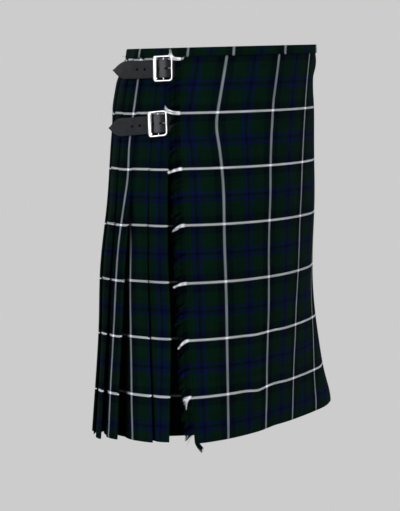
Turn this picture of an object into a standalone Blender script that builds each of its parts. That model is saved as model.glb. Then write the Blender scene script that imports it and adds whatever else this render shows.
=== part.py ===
"""A wool kilt in worn form: a fringed over apron, an under apron, a back of knife pleats,
a narrow waistband, and three leather straps with centre bar buckles.

Every piece is worked out on one set of waist-to-hem sections. A place on the cloth is given
by its drop below the waist, its arc along the section from the front centre (positive to the
wearer's left), and its lift off the section. The wearer faces -Y and z is 0 at the waist.
"""

import itertools
import math

import bmesh
import bpy
import numpy as np

# Cloth and leather, in metres
LENGTH = 0.610
UNDER_RISE = 0.007
CLOTH = 0.0012
CLOTH_GAP = 0.0004
PIECE_GAP = 0.0003
PLEATS = 17
CLOTH_PER_PLEAT = 0.108
MOST_OVERLAP = 0.9
SEAM_TURN = 0.006
FELL = 0.210
BAND_DEPTH = 0.014
BAND_WALL = 0.0012
BAND_ROUND = 0.0008
BAND_DEEP_START = 0.034
BAND_DEEP_RAMP = 0.024
EDGE_AIR = 0.0008
APRON_RISE = 0.038
SETT = 0.088
FIRST_WEFT_LINE = 0.014

STRAP_WIDTH = 0.0286
STRAP_WALL = 0.0020
STRAP_SEWN = 0.015
STRAP_FREE = 0.096
STRAP_POINT = 0.024
STRAP_SEAM_CLEAR = 0.0008
STRAP_RAMP = 0.0062
HUMP_FOOT = 0.0058
HUMP_FULLNESS = 1.35
STRAP_RAMP_LIFT = 0.0024
HOLE_RADIUS = 0.0018
# The open holes' places, from the buckle's centre bar
HOLE_PLACES = (0.0490, 0.0347, 0.0079)
# The hole in use, drawn out by the prong: its place from the centre bar, half its length and
# half its height.
PRONG_HOLE = (-0.0072, 0.0033, 0.0014)

FRAME_HEIGHT = 0.0380
FRAME_LENGTH = 0.0328
FRAME_CORNER = 0.0052
FRAME_BAR = 0.00185
FRAME_THICK_BAR = 0.0038
FRAME_LIFT = 0.0069
CUTTER_REACH = 0.045
CENTRE_BAR = 0.0013
CENTRE_LIFT = 0.0045
PRONG_WIRE = 0.00075
PRONG_TIP = 0.0022
# The prong's way up from the hook to the front bar: its place from the centre bar, and lift.
PRONG_ARM = (
    (-0.0022, 0.0020),
    (-0.0045, 0.0029),
    (-0.0066, 0.0048),
    (-0.0085, 0.0071),
    (-0.0108, 0.0087),
)
TAB_WALL = 0.0009
TAB_LENGTH = 0.030
TAB_WIDTH = 0.026
TAB_SLOT = 0.0050
TAB_LIFT = 0.0018

SLIT_ARC = 0.2140
SLIT_WIDTH = 0.0078
SLIT_HEIGHT = 0.0313
SLIT_INSIDE = 0.0026

FRINGE_TOP = 0.016
FRINGE_STRIP = 0.003
FRINGE_STRANDS = 92
FRINGE_LENGTH = 0.0195
STRAP_STRAND = 0.0030
STRAND_DROOP = 0.0080
STRAND_RISE = 0.0028
STRAND_HALF = 0.0006
STRAP_ZONE = 0.20
BUCKLE_MARGIN = 0.0035
LOCK_HEIGHT = 0.012
LOCK_DROP = 0.008
FOLD_CLEAR = 0.0035

# Half of the section's width and its two depths, with the roundness of each half: 2 is an
# ellipse, and more is squarer.
SECTION_COLUMNS = ("drop", "half_width", "front_depth", "back_depth", "front_round", "back_round")
SECTIONS = (
    (0.00, 0.166, 0.164, 0.134, 2.0, 2.2),
    (0.10, 0.174, 0.157, 0.146, 2.0, 2.8),
    (0.25, 0.194, 0.147, 0.151, 2.0, 3.1),
    (0.35, 0.2032, 0.1386, 0.1558, 2.08, 3.65),
    (0.45, 0.216, 0.132, 0.160, 2.2, 3.4),
    (0.61, 0.258, 0.132, 0.162, 2.4, 3.1),
)

# Where the over apron's two edges and the pleat folds on the right hip run, and how far the
# apron's fringed edge and the under apron stand off the section.
FOLD_NAMES = ("first_fold", "second_fold", "third_fold", "fourth_fold")
EDGE_COLUMNS = ("drop", "apron_right", *FOLD_NAMES, "apron_left", "edge_lift", "under_lift")
EDGES = (
    (0.00, -0.2275, -0.2375, -0.2675, -0.2975, -0.3275, 0.2523, 0.0030, -0.0045),
    (0.10, -0.2285, -0.2445, -0.2772, -0.3099, -0.3426, 0.2545, 0.0030, -0.0045),
    (0.21, -0.2275, -0.2535, -0.2884, -0.3233, -0.3575, 0.2585, 0.0022, -0.0048),
    (0.33, -0.2245, -0.2550, -0.2925, -0.3373, -0.3680, 0.2630, 0.0016, -0.0062),
    (0.45, -0.2260, -0.2555, -0.2940, -0.3473, -0.3850, 0.2690, 0.0014, -0.0085),
    (0.54, -0.2350, -0.2690, -0.3015, -0.3636, -0.4025, 0.2760, 0.0012, -0.0110),
    (0.61, -0.2400, -0.2820, -0.3095, -0.3762, -0.4180, 0.2830, 0.0012, -0.0130),
)

# One row for each pleat, from the wearer's right hip round the back to the left: the share
# of the hem that its face takes, how far the layers under its far end hang apart at the hem,
# and how late it opens on the way down. The folds in EDGES set the first three faces.
PLEAT_COLUMNS = ("face", "air", "late")
PLEAT_FACES = (
    (0.0, 0.0030, 1.0),
    (0.0, 0.0095, 1.0),
    (0.0, 0.0052, 1.0),
    (36.0, 0.0034, 1.0),
    (52.0, 0.0048, 1.1),
    (44.0, 0.0030, 0.9),
    (50.0, 0.0042, 1.0),
    (41.0, 0.0036, 1.2),
    (55.0, 0.0050, 0.9),
    (46.0, 0.0032, 1.0),
    (43.0, 0.0040, 1.1),
    (52.0, 0.0046, 1.0),
    (45.0, 0.0030, 0.9),
    (50.0, 0.0044, 1.0),
    (42.0, 0.0034, 1.1),
    (54.0, 0.0048, 1.0),
    (49.0, 0.0036, 1.0),
)

# Lifts of the back band's outer and inner wall: along the under apron, at its step up to the
# first pleat, and along the pleats.
BAND_COLUMNS = ("arc", "outer", "inner")
BACK_BAND = (
    (-0.7050, 0.0015, -0.0095),
    (-0.6700, 0.0015, -0.0080),
    (-0.3050, 0.0015, -0.0080),
    (-0.2680, 0.0015, -0.0092),
    (-0.2385, 0.0015, -0.0090),
    (-0.2285, -0.0002, -0.0062),
    (-0.1900, -0.0030, -0.0062),
    (0.1850, -0.0030, -0.0062),
)

ROWS = (0.002, 0.070, 0.140, FELL, 0.300, 0.410, 0.520, LENGTH)
OUTLINE_STEPS = 720
FRONT_STEPS = 24
TUBE_SIDES = 8


def column(columns, table, name):
    return np.array([row[columns.index(name)] for row in table], float)


def smooth(columns, table, name, drop):
    """Smooth curve through a table's column, read at a drop: cubic pieces with level joints."""
    x = column(columns, table, "drop")
    y = column(columns, table, name)
    slope = np.gradient(y, x)
    drop = min(max(drop, x[0]), x[-1])
    i = int(np.clip(np.searchsorted(x, drop, side="right") - 1, 0, len(x) - 2))
    width = x[i + 1] - x[i]
    t = (drop - x[i]) / width
    start = (2 * t**3 - 3 * t**2 + 1) * y[i] + (t**3 - 2 * t**2 + t) * width * slope[i]
    end = (3 * t**2 - 2 * t**3) * y[i + 1] + (t**3 - t**2) * width * slope[i + 1]
    return start + end


def edge(name, drop):
    return smooth(EDGE_COLUMNS, EDGES, name, drop)


outlines = {}


def outline(drop):
    """The section at a drop, as arcs from the front centre with x, y and the outward normal."""
    key = round(drop, 5)
    if key not in outlines:
        size = {name: smooth(SECTION_COLUMNS, SECTIONS, name, drop) for name in SECTION_COLUMNS[1:]}
        angle = np.linspace(-math.pi, math.pi, OUTLINE_STEPS + 1)
        s, c = np.sin(angle), np.cos(angle)
        power = 2 / np.where(c >= 0, size["front_round"], size["back_round"])
        depth = np.where(c >= 0, size["front_depth"], size["back_depth"])
        x = size["half_width"] * np.sign(s) * np.abs(s) ** power
        y = -depth * np.sign(c) * np.abs(c) ** power
        arc = np.concatenate(([0.0], np.cumsum(np.hypot(np.diff(x), np.diff(y)))))
        arc -= arc[OUTLINE_STEPS // 2]
        along_x, along_y = np.gradient(x, arc), np.gradient(y, arc)
        length = np.hypot(along_x, along_y)
        outlines[key] = (arc, x, y, along_y / length, -along_x / length)
    return outlines[key]


def girth(drop):
    arc = outline(drop)[0]
    return arc[-1] - arc[0]


def girths(drops):
    return np.array([girth(drop) for drop in drops])


def wrap(drops, arcs, lifts):
    """Points on the body's sections, for arrays of drop, arc and lift of one shape."""
    drops, arcs, lifts = np.broadcast_arrays(
        np.asarray(drops, float), np.asarray(arcs, float), np.asarray(lifts, float)
    )
    points = np.empty(drops.shape + (3,))
    rounded = np.round(drops, 5)
    for drop in np.unique(rounded):
        here = rounded == drop
        arc, x, y, normal_x, normal_y = outline(drop)
        whole = arc[-1] - arc[0]
        place = (arcs[here] - arc[0]) % whole + arc[0]
        points[here, 0] = np.interp(place, arc, x) + lifts[here] * np.interp(place, arc, normal_x)
        points[here, 1] = np.interp(place, arc, y) + lifts[here] * np.interp(place, arc, normal_y)
    points[..., 2] = -drops
    return points


def moved_sideways(along, across, distance):
    """A flat line moved to its left by a distance, with mitred corners."""
    step_a, step_b = np.diff(along), np.diff(across)
    length = np.hypot(step_a, step_b)
    left = np.stack((-step_b / length, step_a / length), axis=1)
    before = np.vstack((left[:1], left))
    after = np.vstack((left, left[-1:]))
    middle = before + after
    middle /= np.linalg.norm(middle, axis=1, keepdims=True)
    stretch = 1 / np.maximum(0.6, (middle * after).sum(axis=1))
    return along + distance * stretch * middle[:, 0], across + distance * stretch * middle[:, 1]


def add_object(name, mesh, material, smooth_angle=35.0):
    mesh.materials.append(material)
    mesh.shade_smooth()
    mesh.set_sharp_from_angle(angle=math.radians(smooth_angle))
    obj = bpy.data.objects.new(name, mesh)
    bpy.context.scene.collection.objects.link(obj)
    return obj


def facing_out(mesh):
    """Turns the faces round where they enclose a negative volume."""
    mesh.calc_loop_triangles()
    points = np.array([v.co for v in mesh.vertices])
    corners = points[np.array([t.vertices for t in mesh.loop_triangles])]
    if np.linalg.det(corners).sum() < 0:
        mesh.flip_normals()
    return mesh


def wall_faces(rows, columns, slant):
    """Triangles of a closed wall between two grids, the second grid's points numbered after
    the first's. slant tells each cell which of its diagonals is cut."""
    faces = []
    back = rows * columns

    def cell(a, b, c, d):
        faces.extend(((a, b, c), (a, c, d)))

    for r in range(rows - 1):
        for i in range(columns - 1):
            a, b = r * columns + i, r * columns + i + 1
            d, c = a + columns, b + columns
            if slant[i]:
                cell(a, b, c, d)
                cell(back + c, back + b, back + a, back + d)
            else:
                faces.extend(((a, b, d), (b, c, d)))
                faces.extend(((back + a, back + d, back + b), (back + b, back + d, back + c)))
        first, last = r * columns, r * columns + columns - 1
        cell(first, first + columns, back + first + columns, back + first)
        cell(last, back + last, back + last + columns, last + columns)
    bottom = (rows - 1) * columns
    for i in range(columns - 1):
        cell(i, back + i, back + i + 1, i + 1)
        cell(bottom + i, bottom + i + 1, back + bottom + i + 1, back + bottom + i)
    return faces


def wall(name, near, far, material, slant=None):
    """One closed body between two grids of points, each of rows by columns."""
    rows, columns = near.shape[:2]
    if slant is None:
        slant = [True] * (columns - 1)
    mesh = bpy.data.meshes.new(name)
    points = np.concatenate((near.reshape(-1, 3), far.reshape(-1, 3)))
    mesh.from_pydata(points.tolist(), [], wall_faces(rows, columns, slant))
    mesh.validate()
    return add_object(name, facing_out(mesh), material)


def cloth(name, line_at, drops, material, ends=None):
    """A cloth wall through a line of arcs and lifts at each drop. Cells run the same way on
    every layer of a fold, so that parallel layers stay parallel."""
    near, far = [], []
    for drop in drops:
        arcs, lifts = line_at(drop)
        near.append(wrap(drop, *moved_sideways(arcs, lifts, CLOTH / 2)))
        far.append(wrap(drop, *moved_sideways(arcs, lifts, -CLOTH / 2)))
    slant = np.diff(line_at(drops[0])[0]) > 0
    return wall(name, np.array(near), np.array(far), material, slant)


def opening_share(drop):
    return min(max((drop - FELL) / (LENGTH - FELL), 0.0), 1.0)


def folds(drop):
    """Arcs of the 17 pleat folds and, last, of the over apron's left edge, running back
    round the body from the wearer's right hip."""
    stated = [edge(name, drop) for name in FOLD_NAMES]
    last = edge("apron_left", drop) - girth(drop)
    hem = column(PLEAT_COLUMNS, PLEAT_FACES, "face")[len(stated) - 1 :]
    late = column(PLEAT_COLUMNS, PLEAT_FACES, "late")[len(stated) - 1 :]
    even = 1 / len(hem)
    share = even + (hem / hem.sum() - even) * opening_share(drop) ** late
    share /= share.sum()
    return np.concatenate((stated, stated[-1] + (last - stated[-1]) * np.cumsum(share)))


def layer_steps(drop):
    """The spacing of the cloth layers at each fold: at the first fold, over the under apron,
    then at each later fold, and last at the over apron's left edge."""
    air = column(PLEAT_COLUMNS, PLEAT_FACES, "air")
    steps = CLOTH + CLOTH_GAP + air * opening_share(drop) ** 1.3
    steps[-1] += EDGE_AIR
    return np.concatenate(([-edge("under_lift", drop) / 2], steps))


def hidden_depths(drop):
    """How far each fold's hidden cloth runs on behind it, three layers at most."""
    place = folds(drop)
    face = -np.diff(place)
    ahead = np.concatenate((face, [face[-1]]))
    behind = np.concatenate(([face[0]], face))
    return np.minimum((CLOTH_PER_PLEAT - behind) / 2, MOST_OVERLAP * np.minimum(ahead, behind))


def face_lift(drop, pleat, distance):
    """Lift of a pleat's face at a distance behind its fold: it slopes in to go under the
    next fold. The over apron, after the last pleat, stays level there."""
    if pleat >= PLEATS:
        return np.zeros_like(np.asarray(distance, float))
    place = folds(drop)
    return -2 * layer_steps(drop)[pleat + 1] * distance / (place[pleat] - place[pleat + 1])


def fold_turn(arc, lift, step):
    """The rounded outer turn of a fold, from its under layer to its face."""
    angle = np.radians([-90, -35, 35, 90])
    return arc + step / 2 * np.cos(angle), lift - step / 2 + step / 2 * np.sin(angle)


def pleat_line(drop):
    """The pleated back: for each pleat the turn, its face, the hidden layer that runs on
    under the next fold, the inner turn, and the layer that comes back to the next fold."""
    place, step, depth = folds(drop), layer_steps(drop), hidden_depths(drop)
    start = depth[0] - SEAM_TURN - PIECE_GAP
    arcs, lifts = [place[0] - start], [face_lift(drop, 0, start) - step[0]]
    for i in range(PLEATS):
        turn_arcs, turn_lifts = fold_turn(place[i], 0.0, step[i])
        arcs.extend(turn_arcs)
        lifts.extend(turn_lifts)
        arcs.extend((place[i] - depth[i], place[i + 1]))
        lifts.extend((face_lift(drop, i, depth[i]), -2 * step[i + 1]))
        inner = place[i + 1] - depth[i + 1]
        under = face_lift(drop, i + 1, depth[i + 1])
        arcs.extend((inner, inner - step[i + 1] / 2, inner))
        lifts.extend((under - 2 * step[i + 1], under - 1.5 * step[i + 1], under - step[i + 1]))
    arcs.append(inner + SEAM_TURN)
    lifts.append(lifts[-1])
    return np.array(arcs), np.array(lifts)


def front_arcs(drop):
    """Arcs shared by both aprons, from the over apron's fringed edge to its left fold."""
    right, left = edge("apron_right", drop), edge("apron_left", drop)
    return np.linspace(right, left, FRONT_STEPS + 1)


def apron_lift(drop, arcs):
    """The over apron rises to its fringed edge, where it lies on the straps."""
    rise = np.clip((edge("apron_right", drop) + APRON_RISE - arcs) / APRON_RISE, 0, 1)
    return edge("edge_lift", drop) * rise**2 * (3 - 2 * rise)


def over_apron_line(drop):
    step, depth = layer_steps(drop)[-1], hidden_depths(drop)[-1]
    arcs = front_arcs(drop)
    lifts = apron_lift(drop, arcs)
    turn_arcs, turn_lifts = fold_turn(arcs[-1], 0.0, step)
    hidden = arcs[-1] - depth + SEAM_TURN + PIECE_GAP
    arcs = np.concatenate((arcs[:-1], turn_arcs[::-1], [hidden]))
    lifts = np.concatenate((lifts[:-1], turn_lifts[::-1], [-step]))
    return arcs, lifts


def under_apron_line(drop):
    """From the layer under the first pleat, out across the front behind the over apron."""
    step, depth = layer_steps(drop)[0], hidden_depths(drop)[0]
    first = folds(drop)[0]
    inner = first - depth
    under = face_lift(drop, 0, depth)
    arcs = [inner + SEAM_TURN, inner, inner - step / 2, inner, first]
    turn = face_lift(drop, 0, depth - SEAM_TURN)
    lifts = [turn - step, under - step, under - 1.5 * step, under - 2 * step, -2 * step]
    front = front_arcs(drop)[: FRONT_STEPS - 2]
    arcs.extend(front)
    lifts.extend([-2 * step] * len(front))
    return np.array(arcs), np.array(lifts)


def band(name, arcs, outer, inner, material):
    """A binding over the cloth's top edge, its two walls at the given lifts."""
    crown = BAND_WALL / 2
    shoulder = crown + BAND_ROUND
    drops = np.array([BAND_DEPTH, shoulder, crown, crown, shoulder, BAND_DEPTH])
    near, far = [], []
    for arc, high, low in zip(arcs, outer, inner):
        lifts = np.array([high, high, high - BAND_ROUND, low + BAND_ROUND, low, low])
        for side, grid in ((BAND_WALL / 2, near), (-BAND_WALL / 2, far)):
            drop, lift = moved_sideways(drops, lifts, side)
            grid.append(wrap(drop, arc * girths(drop) / girth(BAND_DEPTH / 2), lift))
    return wall(name, np.array(near), np.array(far), material)


def waistband_over(material):
    drop = BAND_DEPTH / 2
    arcs = front_arcs(drop)
    cloth_lift = apron_lift(drop, arcs)
    reach = CLOTH / 2 + PIECE_GAP + BAND_WALL / 2
    under = -2 * layer_steps(drop)[-1]
    depth = hidden_depths(drop)[-1]
    deep = np.clip((arcs - arcs[-1] + depth + BAND_DEEP_START) / BAND_DEEP_RAMP, 0, 1)
    inner = cloth_lift - reach + deep * (under - PIECE_GAP)
    arcs[-1] -= PIECE_GAP
    return band("waistband_over", arcs, cloth_lift + reach, inner, material)


def waistband_back(material):
    drop = BAND_DEPTH / 2
    place, depth = folds(drop), hidden_depths(drop)
    knots = column(BAND_COLUMNS, BACK_BAND, "arc")
    front = front_arcs(drop)[: FRONT_STEPS - 2]
    steps = [place[1:-1], place[1:-1] - depth[1:-1], [place[0] - depth[0]]]
    hip = [place[-1] + 0.0030, place[0], *knots[-4:-2]]
    arcs = np.sort(np.concatenate([*steps, hip, front[1:]]))
    outer = np.interp(arcs, knots, column(BAND_COLUMNS, BACK_BAND, "outer"))
    inner = np.interp(arcs, knots, column(BAND_COLUMNS, BACK_BAND, "inner"))
    return band("waistband_back", arcs, outer, inner, material)


def yarn_ends(drop):
    """Length of the fringe at a drop: the white yarns stay longer, and the hem has a lock."""
    line = abs((drop - FIRST_WEFT_LINE) / SETT - round((drop - FIRST_WEFT_LINE) / SETT)) * SETT
    return 1.15 if line < 0.004 or drop > LENGTH - 0.012 else 1.0 - 0.16 * math.sin(drop * 331)


def fringe(material):
    """A narrow strip beside the over apron's edge, with strands drawn out of its far side."""
    bands = 2 * FRINGE_STRANDS + 1
    drops = np.linspace(FRINGE_TOP, LENGTH, bands + 1)
    near, far = [], []
    for drop in drops:
        start = edge("apron_right", drop) - PIECE_GAP
        lift = edge("edge_lift", drop)
        arcs = np.array([start, start - FRINGE_STRIP])
        near.append(wrap(drop, arcs, lift + CLOTH / 2))
        far.append(wrap(drop, arcs, lift - CLOTH / 2))
    obj = wall("fringe", np.array(near), np.array(far), material)
    draft = bmesh.new()
    draft.from_mesh(obj.data)
    draft.verts.ensure_lookup_table()
    back = 2 * (bands + 1)
    roots = []
    for strand in range(FRINGE_STRANDS):
        top = 4 * strand + 3
        roots.append([draft.verts[i] for i in (top, top + 2, back + top + 2, back + top)])
    for strand, ring in enumerate(roots):
        old = {face for corner in ring for face in corner.link_faces if set(face.verts) <= set(ring)}
        bmesh.ops.delete(draft, geom=list(old), context="FACES_ONLY")
        middle = (drops[2 * strand + 1] + drops[2 * strand + 2]) / 2
        tips = [draft.verts.new(point) for point in strand_tip(middle)]
        for i in range(4):
            j = (i + 1) % 4
            draft.faces.new((ring[i], ring[j], tips[j], tips[i]))
        draft.faces.new(tips)
    bmesh.ops.recalc_face_normals(draft, faces=draft.faces)
    draft.to_mesh(obj.data)
    draft.free()
    facing_out(obj.data)
    return obj


def strand_tip(drop):
    """The four corners of a strand's end: it droops, stays short of the buckles and clear of
    the first pleat's fold, and lies over the straps."""
    start = edge("apron_right", drop) - PIECE_GAP - FRINGE_STRIP
    length = FRINGE_LENGTH * yarn_ends(drop)
    lock = max(0.0, (drop - LENGTH + LOCK_HEIGHT) / LOCK_HEIGHT)
    droop = STRAND_DROOP + 0.0015 * math.sin(drop * 211) + LOCK_DROP * lock**2
    near = FRAME_HEIGHT / 2 + BUCKLE_MARGIN
    for which in ("upper", "lower"):
        below = drop - STRAPS[which]["drop"]
        if -near - droop < below < near:
            droop *= STRAP_STRAND / length
            length = STRAP_STRAND
    reach = start - length
    lift = edge("edge_lift", drop)
    if drop < STRAP_ZONE:
        lift += STRAND_RISE
    else:
        reach = max(reach, edge("first_fold", drop) + FOLD_CLEAR)
    low = drop + droop
    half = STRAND_HALF
    drops = np.array([low - half, low + half, low + half, low - half])
    lifts = lift + np.array([half, half, -half, -half]) * 0.7
    return wrap(drops, reach, lifts)


# Each strap's row: the drop and arc of its buckle's middle, which way it runs round the body
# (-1 is back from the right hip, 1 is back from the left), how far it tilts down towards its
# tip in radians, and how far the tip stands off.
STRAPS = {
    "upper": {"drop": 0.0324, "arc": -0.2558, "way": -1, "tilt": 0.023, "stand": 0.0160},
    "lower": {"drop": 0.1189, "arc": -0.2650, "way": -1, "tilt": 0.083, "stand": 0.0100},
    "left": {"drop": 0.0360, "arc": 0.2900, "way": 1, "tilt": 0.0, "stand": 0.0130},
}


def strap_lifts(which, distance):
    """The strap's path: under both outer bars, over the centre bar, then standing off
    towards its tip. Distance runs from the centre bar to the tip."""
    half = FRAME_LENGTH / 2
    low = FRAME_LIFT - FRAME_BAR - 2 * PIECE_GAP - STRAP_WALL / 2
    high = CENTRE_LIFT + CENTRE_BAR + 3 * PIECE_GAP + 2 * PRONG_WIRE + STRAP_WALL / 2
    hump = np.clip(1 - np.abs(distance) / (half - HUMP_FOOT), 0, 1)
    hump = np.minimum(1.0, HUMP_FULLNESS * hump * hump * (3 - 2 * hump))
    free = np.clip((distance - half) / (STRAP_FREE - half), 0, 1)
    return low + (high - low) * hump + STRAPS[which]["stand"] * free**2


def strap(which, material, sewn):
    """A leather strap: sewn gives its first points as distance from the centre bar and lift,
    and the rest follows the buckle, to an ogive point."""
    half = FRAME_LENGTH / 2
    over = half * np.array([-1.0, -0.65, -0.42, -0.21, 0.0, 0.21, 0.42, 0.65, 1.0])
    free = np.linspace(half + STRAP_RAMP, STRAP_FREE - STRAP_POINT, 5)
    point = STRAP_FREE - STRAP_POINT * np.array([0.72, 0.45, 0.22, 0.07, 0.0])
    place = np.concatenate(([p[0] for p in sewn], over, free, point))
    rest = strap_lifts(which, np.concatenate((over, free, point)))
    lift = np.concatenate(([p[1] for p in sewn], rest))
    left = np.clip((STRAP_FREE - place) / STRAP_POINT, 0, 1)
    half_width = STRAP_WIDTH / 2 * np.maximum(1 - (1 - left) ** 1.7, 0.1)
    near, far = [], []
    for share in (-1.0, -0.5, 0.0, 0.5, 1.0):
        for side, grid in ((1, near), (-1, far)):
            along, up = moved_sideways(place, lift, side * STRAP_WALL / 2)
            grid.append(along_strap(which, share * half_width, along, up))
    obj = wall("strap_" + which, np.array(near), np.array(far), material)
    for number, distance in enumerate(HOLE_PLACES):
        punch(obj, f"{which}_hole_{number}", which, distance, HOLE_RADIUS, HOLE_RADIUS)
    punch(obj, f"{which}_hole_prong", which, *PRONG_HOLE)
    return obj


def strap_place(which, distance, below=0.0):
    """Drop and arc at a distance along a strap and a height below its middle line. Arcs are
    kept square to the strap where the body's girth changes."""
    drop, arc, way, tilt, _ = STRAPS[which].values()
    level = wrap(drop, arc + way * 0.004, 0.0) - wrap(drop, arc - way * 0.004, 0.0)
    level /= np.linalg.norm(level)
    lean = (wrap(drop - 0.01, arc, 0.0) - wrap(drop + 0.01, arc, 0.0)) @ level / 0.02
    down = distance * math.sin(tilt) + below * math.cos(tilt)
    across = distance * math.cos(tilt) - below * math.sin(tilt)
    return drop + down, arc + way * (across + lean * down)


def strap_basis(which, distance=0.0):
    """Origin, way the strap runs, way up and way out, at a distance along the strap."""
    origin = wrap(*strap_place(which, distance), 0.0)
    ahead = wrap(*strap_place(which, distance + 0.004), 0.0)
    along = ahead - wrap(*strap_place(which, distance - 0.004), 0.0)
    along /= np.linalg.norm(along)
    above = wrap(*strap_place(which, distance, -0.01), 0.0)
    up = above - wrap(*strap_place(which, distance, 0.01), 0.0)
    up -= along * (up @ along)
    up /= np.linalg.norm(up)
    out = np.cross(along, up)
    if out @ (wrap(*strap_place(which, distance), 0.01) - origin) < 0:
        out = -out
    return origin, along, up, out


def sewn_under_edge(which):
    """Where a strap starts, under the over apron's fringed edge: distances from its buckle's
    centre bar, and lifts that follow the apron above it."""
    drop, arc, _, tilt, _ = STRAPS[which].values()
    right = edge("apron_right", drop)
    places = right + np.array([STRAP_SEWN, STRAP_SEWN / 2, 0.0])
    lifts = apron_lift(drop, places) - CLOTH / 2 - 4 * PIECE_GAP - STRAP_WALL / 2
    slant = math.tan(tilt) * STRAP_WIDTH / 2
    clear = arc - right + FRINGE_STRIP + STRAP_SEAM_CLEAR + slant
    return [*zip(arc - places, lifts), (clear, lifts[-1]), (clear + STRAP_RAMP, STRAP_RAMP_LIFT)]


def through_slit():
    """The left strap starts on the under apron and comes out through the over apron's slit."""
    outside = CLOTH / 2 + 3 * PIECE_GAP + STRAP_WALL / 2
    places = SLIT_ARC + np.array([-0.0420, -0.0200, -0.0042, 0.0042, 0.0100, 0.0400])
    lifts = 3 * [-SLIT_INSIDE] + [outside] + 2 * [outside + PIECE_GAP]
    return [*zip(places - STRAPS["left"]["arc"], lifts)]


def along_strap(which, below, distances, lifts):
    """Points at heights below the strap's middle line, lifted square to the body's slope."""
    points = wrap(*strap_place(which, distances, below), lifts)
    points[..., 2] += lifts * strap_basis(which)[3][2]
    return points


def box_cut(obj, name, which, distance, low, high):
    """Cuts a box out of an object, its corners given along, up and out from a place on a
    strap's line."""
    origin, along, up, out = strap_basis(which, distance)
    corners = itertools.product(*zip(low, high))
    points = [(origin + x * along + y * up + z * out).tolist() for x, y, z in corners]
    faces = [(0, 1, 3, 2), (4, 6, 7, 5), (0, 4, 5, 1), (2, 3, 7, 6), (0, 2, 6, 4), (1, 5, 7, 3)]
    mesh = bpy.data.meshes.new(name)
    mesh.from_pydata(points, [], faces)
    cut_with(obj, name, facing_out(mesh))


def cut_with(obj, name, mesh, operation="DIFFERENCE"):
    helper = bpy.data.objects.new(name, mesh)
    bpy.context.scene.collection.objects.link(helper)
    helper.hide_render = True
    helper.display_type = "WIRE"
    cut = obj.modifiers.new(name, "BOOLEAN")
    cut.object = helper
    cut.operation = operation
    cut.solver = "EXACT"


def punch(obj, name, which, distance, half_long, half_high):
    """Cuts a round or oval hole through a strap."""
    origin, along, up, out = strap_basis(which, distance)
    rod = origin + np.array([[-0.004], [CUTTER_REACH]]) * out
    radii = [(half_high, half_long)] * 2
    cut_with(obj, name, tube_mesh(name, rod, radii, False, sides=12, flat_axis=along))


def tube(points, radii, closed, sides=TUBE_SIDES, flat_axis=None):
    """Rings of points round a path, each ring square to it, and the faces between them."""
    count = len(points)
    if closed:
        ahead = np.roll(points, -1, axis=0) - np.roll(points, 1, axis=0)
    else:
        ahead = np.gradient(points, axis=0)
    ahead /= np.linalg.norm(ahead, axis=1, keepdims=True)
    first = np.cross(ahead, flat_axis)
    first /= np.linalg.norm(first, axis=1, keepdims=True)
    second = np.cross(ahead, first)
    angle = np.linspace(0, 2 * math.pi, sides, endpoint=False)
    radii = np.asarray(radii, float).reshape(count, -1)
    wide, high = radii[:, 0], radii[:, -1]
    rings = (
        points[:, None]
        + (np.cos(angle) * wide[:, None])[..., None] * first[:, None]
        + (np.sin(angle) * high[:, None])[..., None] * second[:, None]
    )
    faces = []
    for r in range(count if closed else count - 1):
        s = (r + 1) % count
        for i in range(sides):
            j = (i + 1) % sides
            faces.append((r * sides + i, r * sides + j, s * sides + j, s * sides + i))
    if not closed:
        faces.append(tuple(range(sides - 1, -1, -1)))
        faces.append(tuple((count - 1) * sides + i for i in range(sides)))
    return rings.reshape(-1, 3), faces


def tube_mesh(name, *shape, **more):
    points, faces = tube(*shape, **more)
    mesh = bpy.data.meshes.new(name)
    mesh.from_pydata(points.tolist(), [], faces)
    return facing_out(mesh)


def buckle(which, material):
    """A rounded frame, thicker at the bar on the strap's tip side, with a lower centre bar."""
    origin, along, up, out = strap_basis(which)
    half_long, half_high, corner = FRAME_LENGTH / 2, FRAME_HEIGHT / 2, FRAME_CORNER
    flat, thick = [], []
    for quarter in range(4):
        for turn in np.linspace(0, 90, 5):
            angle = math.radians(quarter * 90 + turn)
            x = (half_long - corner) * (1 if quarter in (0, 3) else -1) + corner * math.cos(angle)
            y = (half_high - corner) * (1 if quarter in (0, 1) else -1) + corner * math.sin(angle)
            flat.append((x, y))
            grown = FRAME_THICK_BAR if x > half_long - 0.5 * corner else FRAME_BAR
            thick.append((grown, FRAME_BAR))
    flat = np.array(flat)
    flat[:, 0] -= np.array(thick)[:, 0] - FRAME_BAR
    points = origin + flat[:, :1] * along + flat[:, 1:] * up + FRAME_LIFT * out
    mesh = tube_mesh("buckle_" + which, points, thick, True, flat_axis=out)
    obj = add_object("buckle_" + which, mesh, material)
    ends = np.array([[-half_high], [half_high]])
    rod = origin + ends * up + CENTRE_LIFT * out
    bar = tube_mesh("bar_" + which, rod, [CENTRE_BAR] * 2, False, flat_axis=out)
    cut_with(obj, "bar_" + which, bar, "UNION")
    return obj


def prong(which, material):
    """A wire hooked round the centre bar, up through the strap's hole and over the front bar."""
    origin, along, up, out = strap_basis(which)
    loop = CENTRE_BAR + PIECE_GAP + PRONG_WIRE
    angle = np.radians(np.arange(40, 239, 33))
    hook = np.stack((loop * np.cos(angle), CENTRE_LIFT + loop * np.sin(angle)), axis=1)
    rest = FRAME_LIFT + FRAME_BAR + PIECE_GAP + PRONG_WIRE
    front = FRAME_LENGTH / 2
    flat = np.vstack((hook, PRONG_ARM, (-front, rest), (-front - PRONG_TIP, rest - PIECE_GAP)))
    points = origin + flat[:, :1] * along + flat[:, 1:] * out
    radii = [PRONG_WIRE] * (len(flat) - 1) + [PRONG_WIRE * 0.6]
    name = "prong_" + which
    mesh = tube_mesh(name, points, radii, False, sides=6, flat_axis=up)
    return add_object(name, mesh, material)


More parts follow.
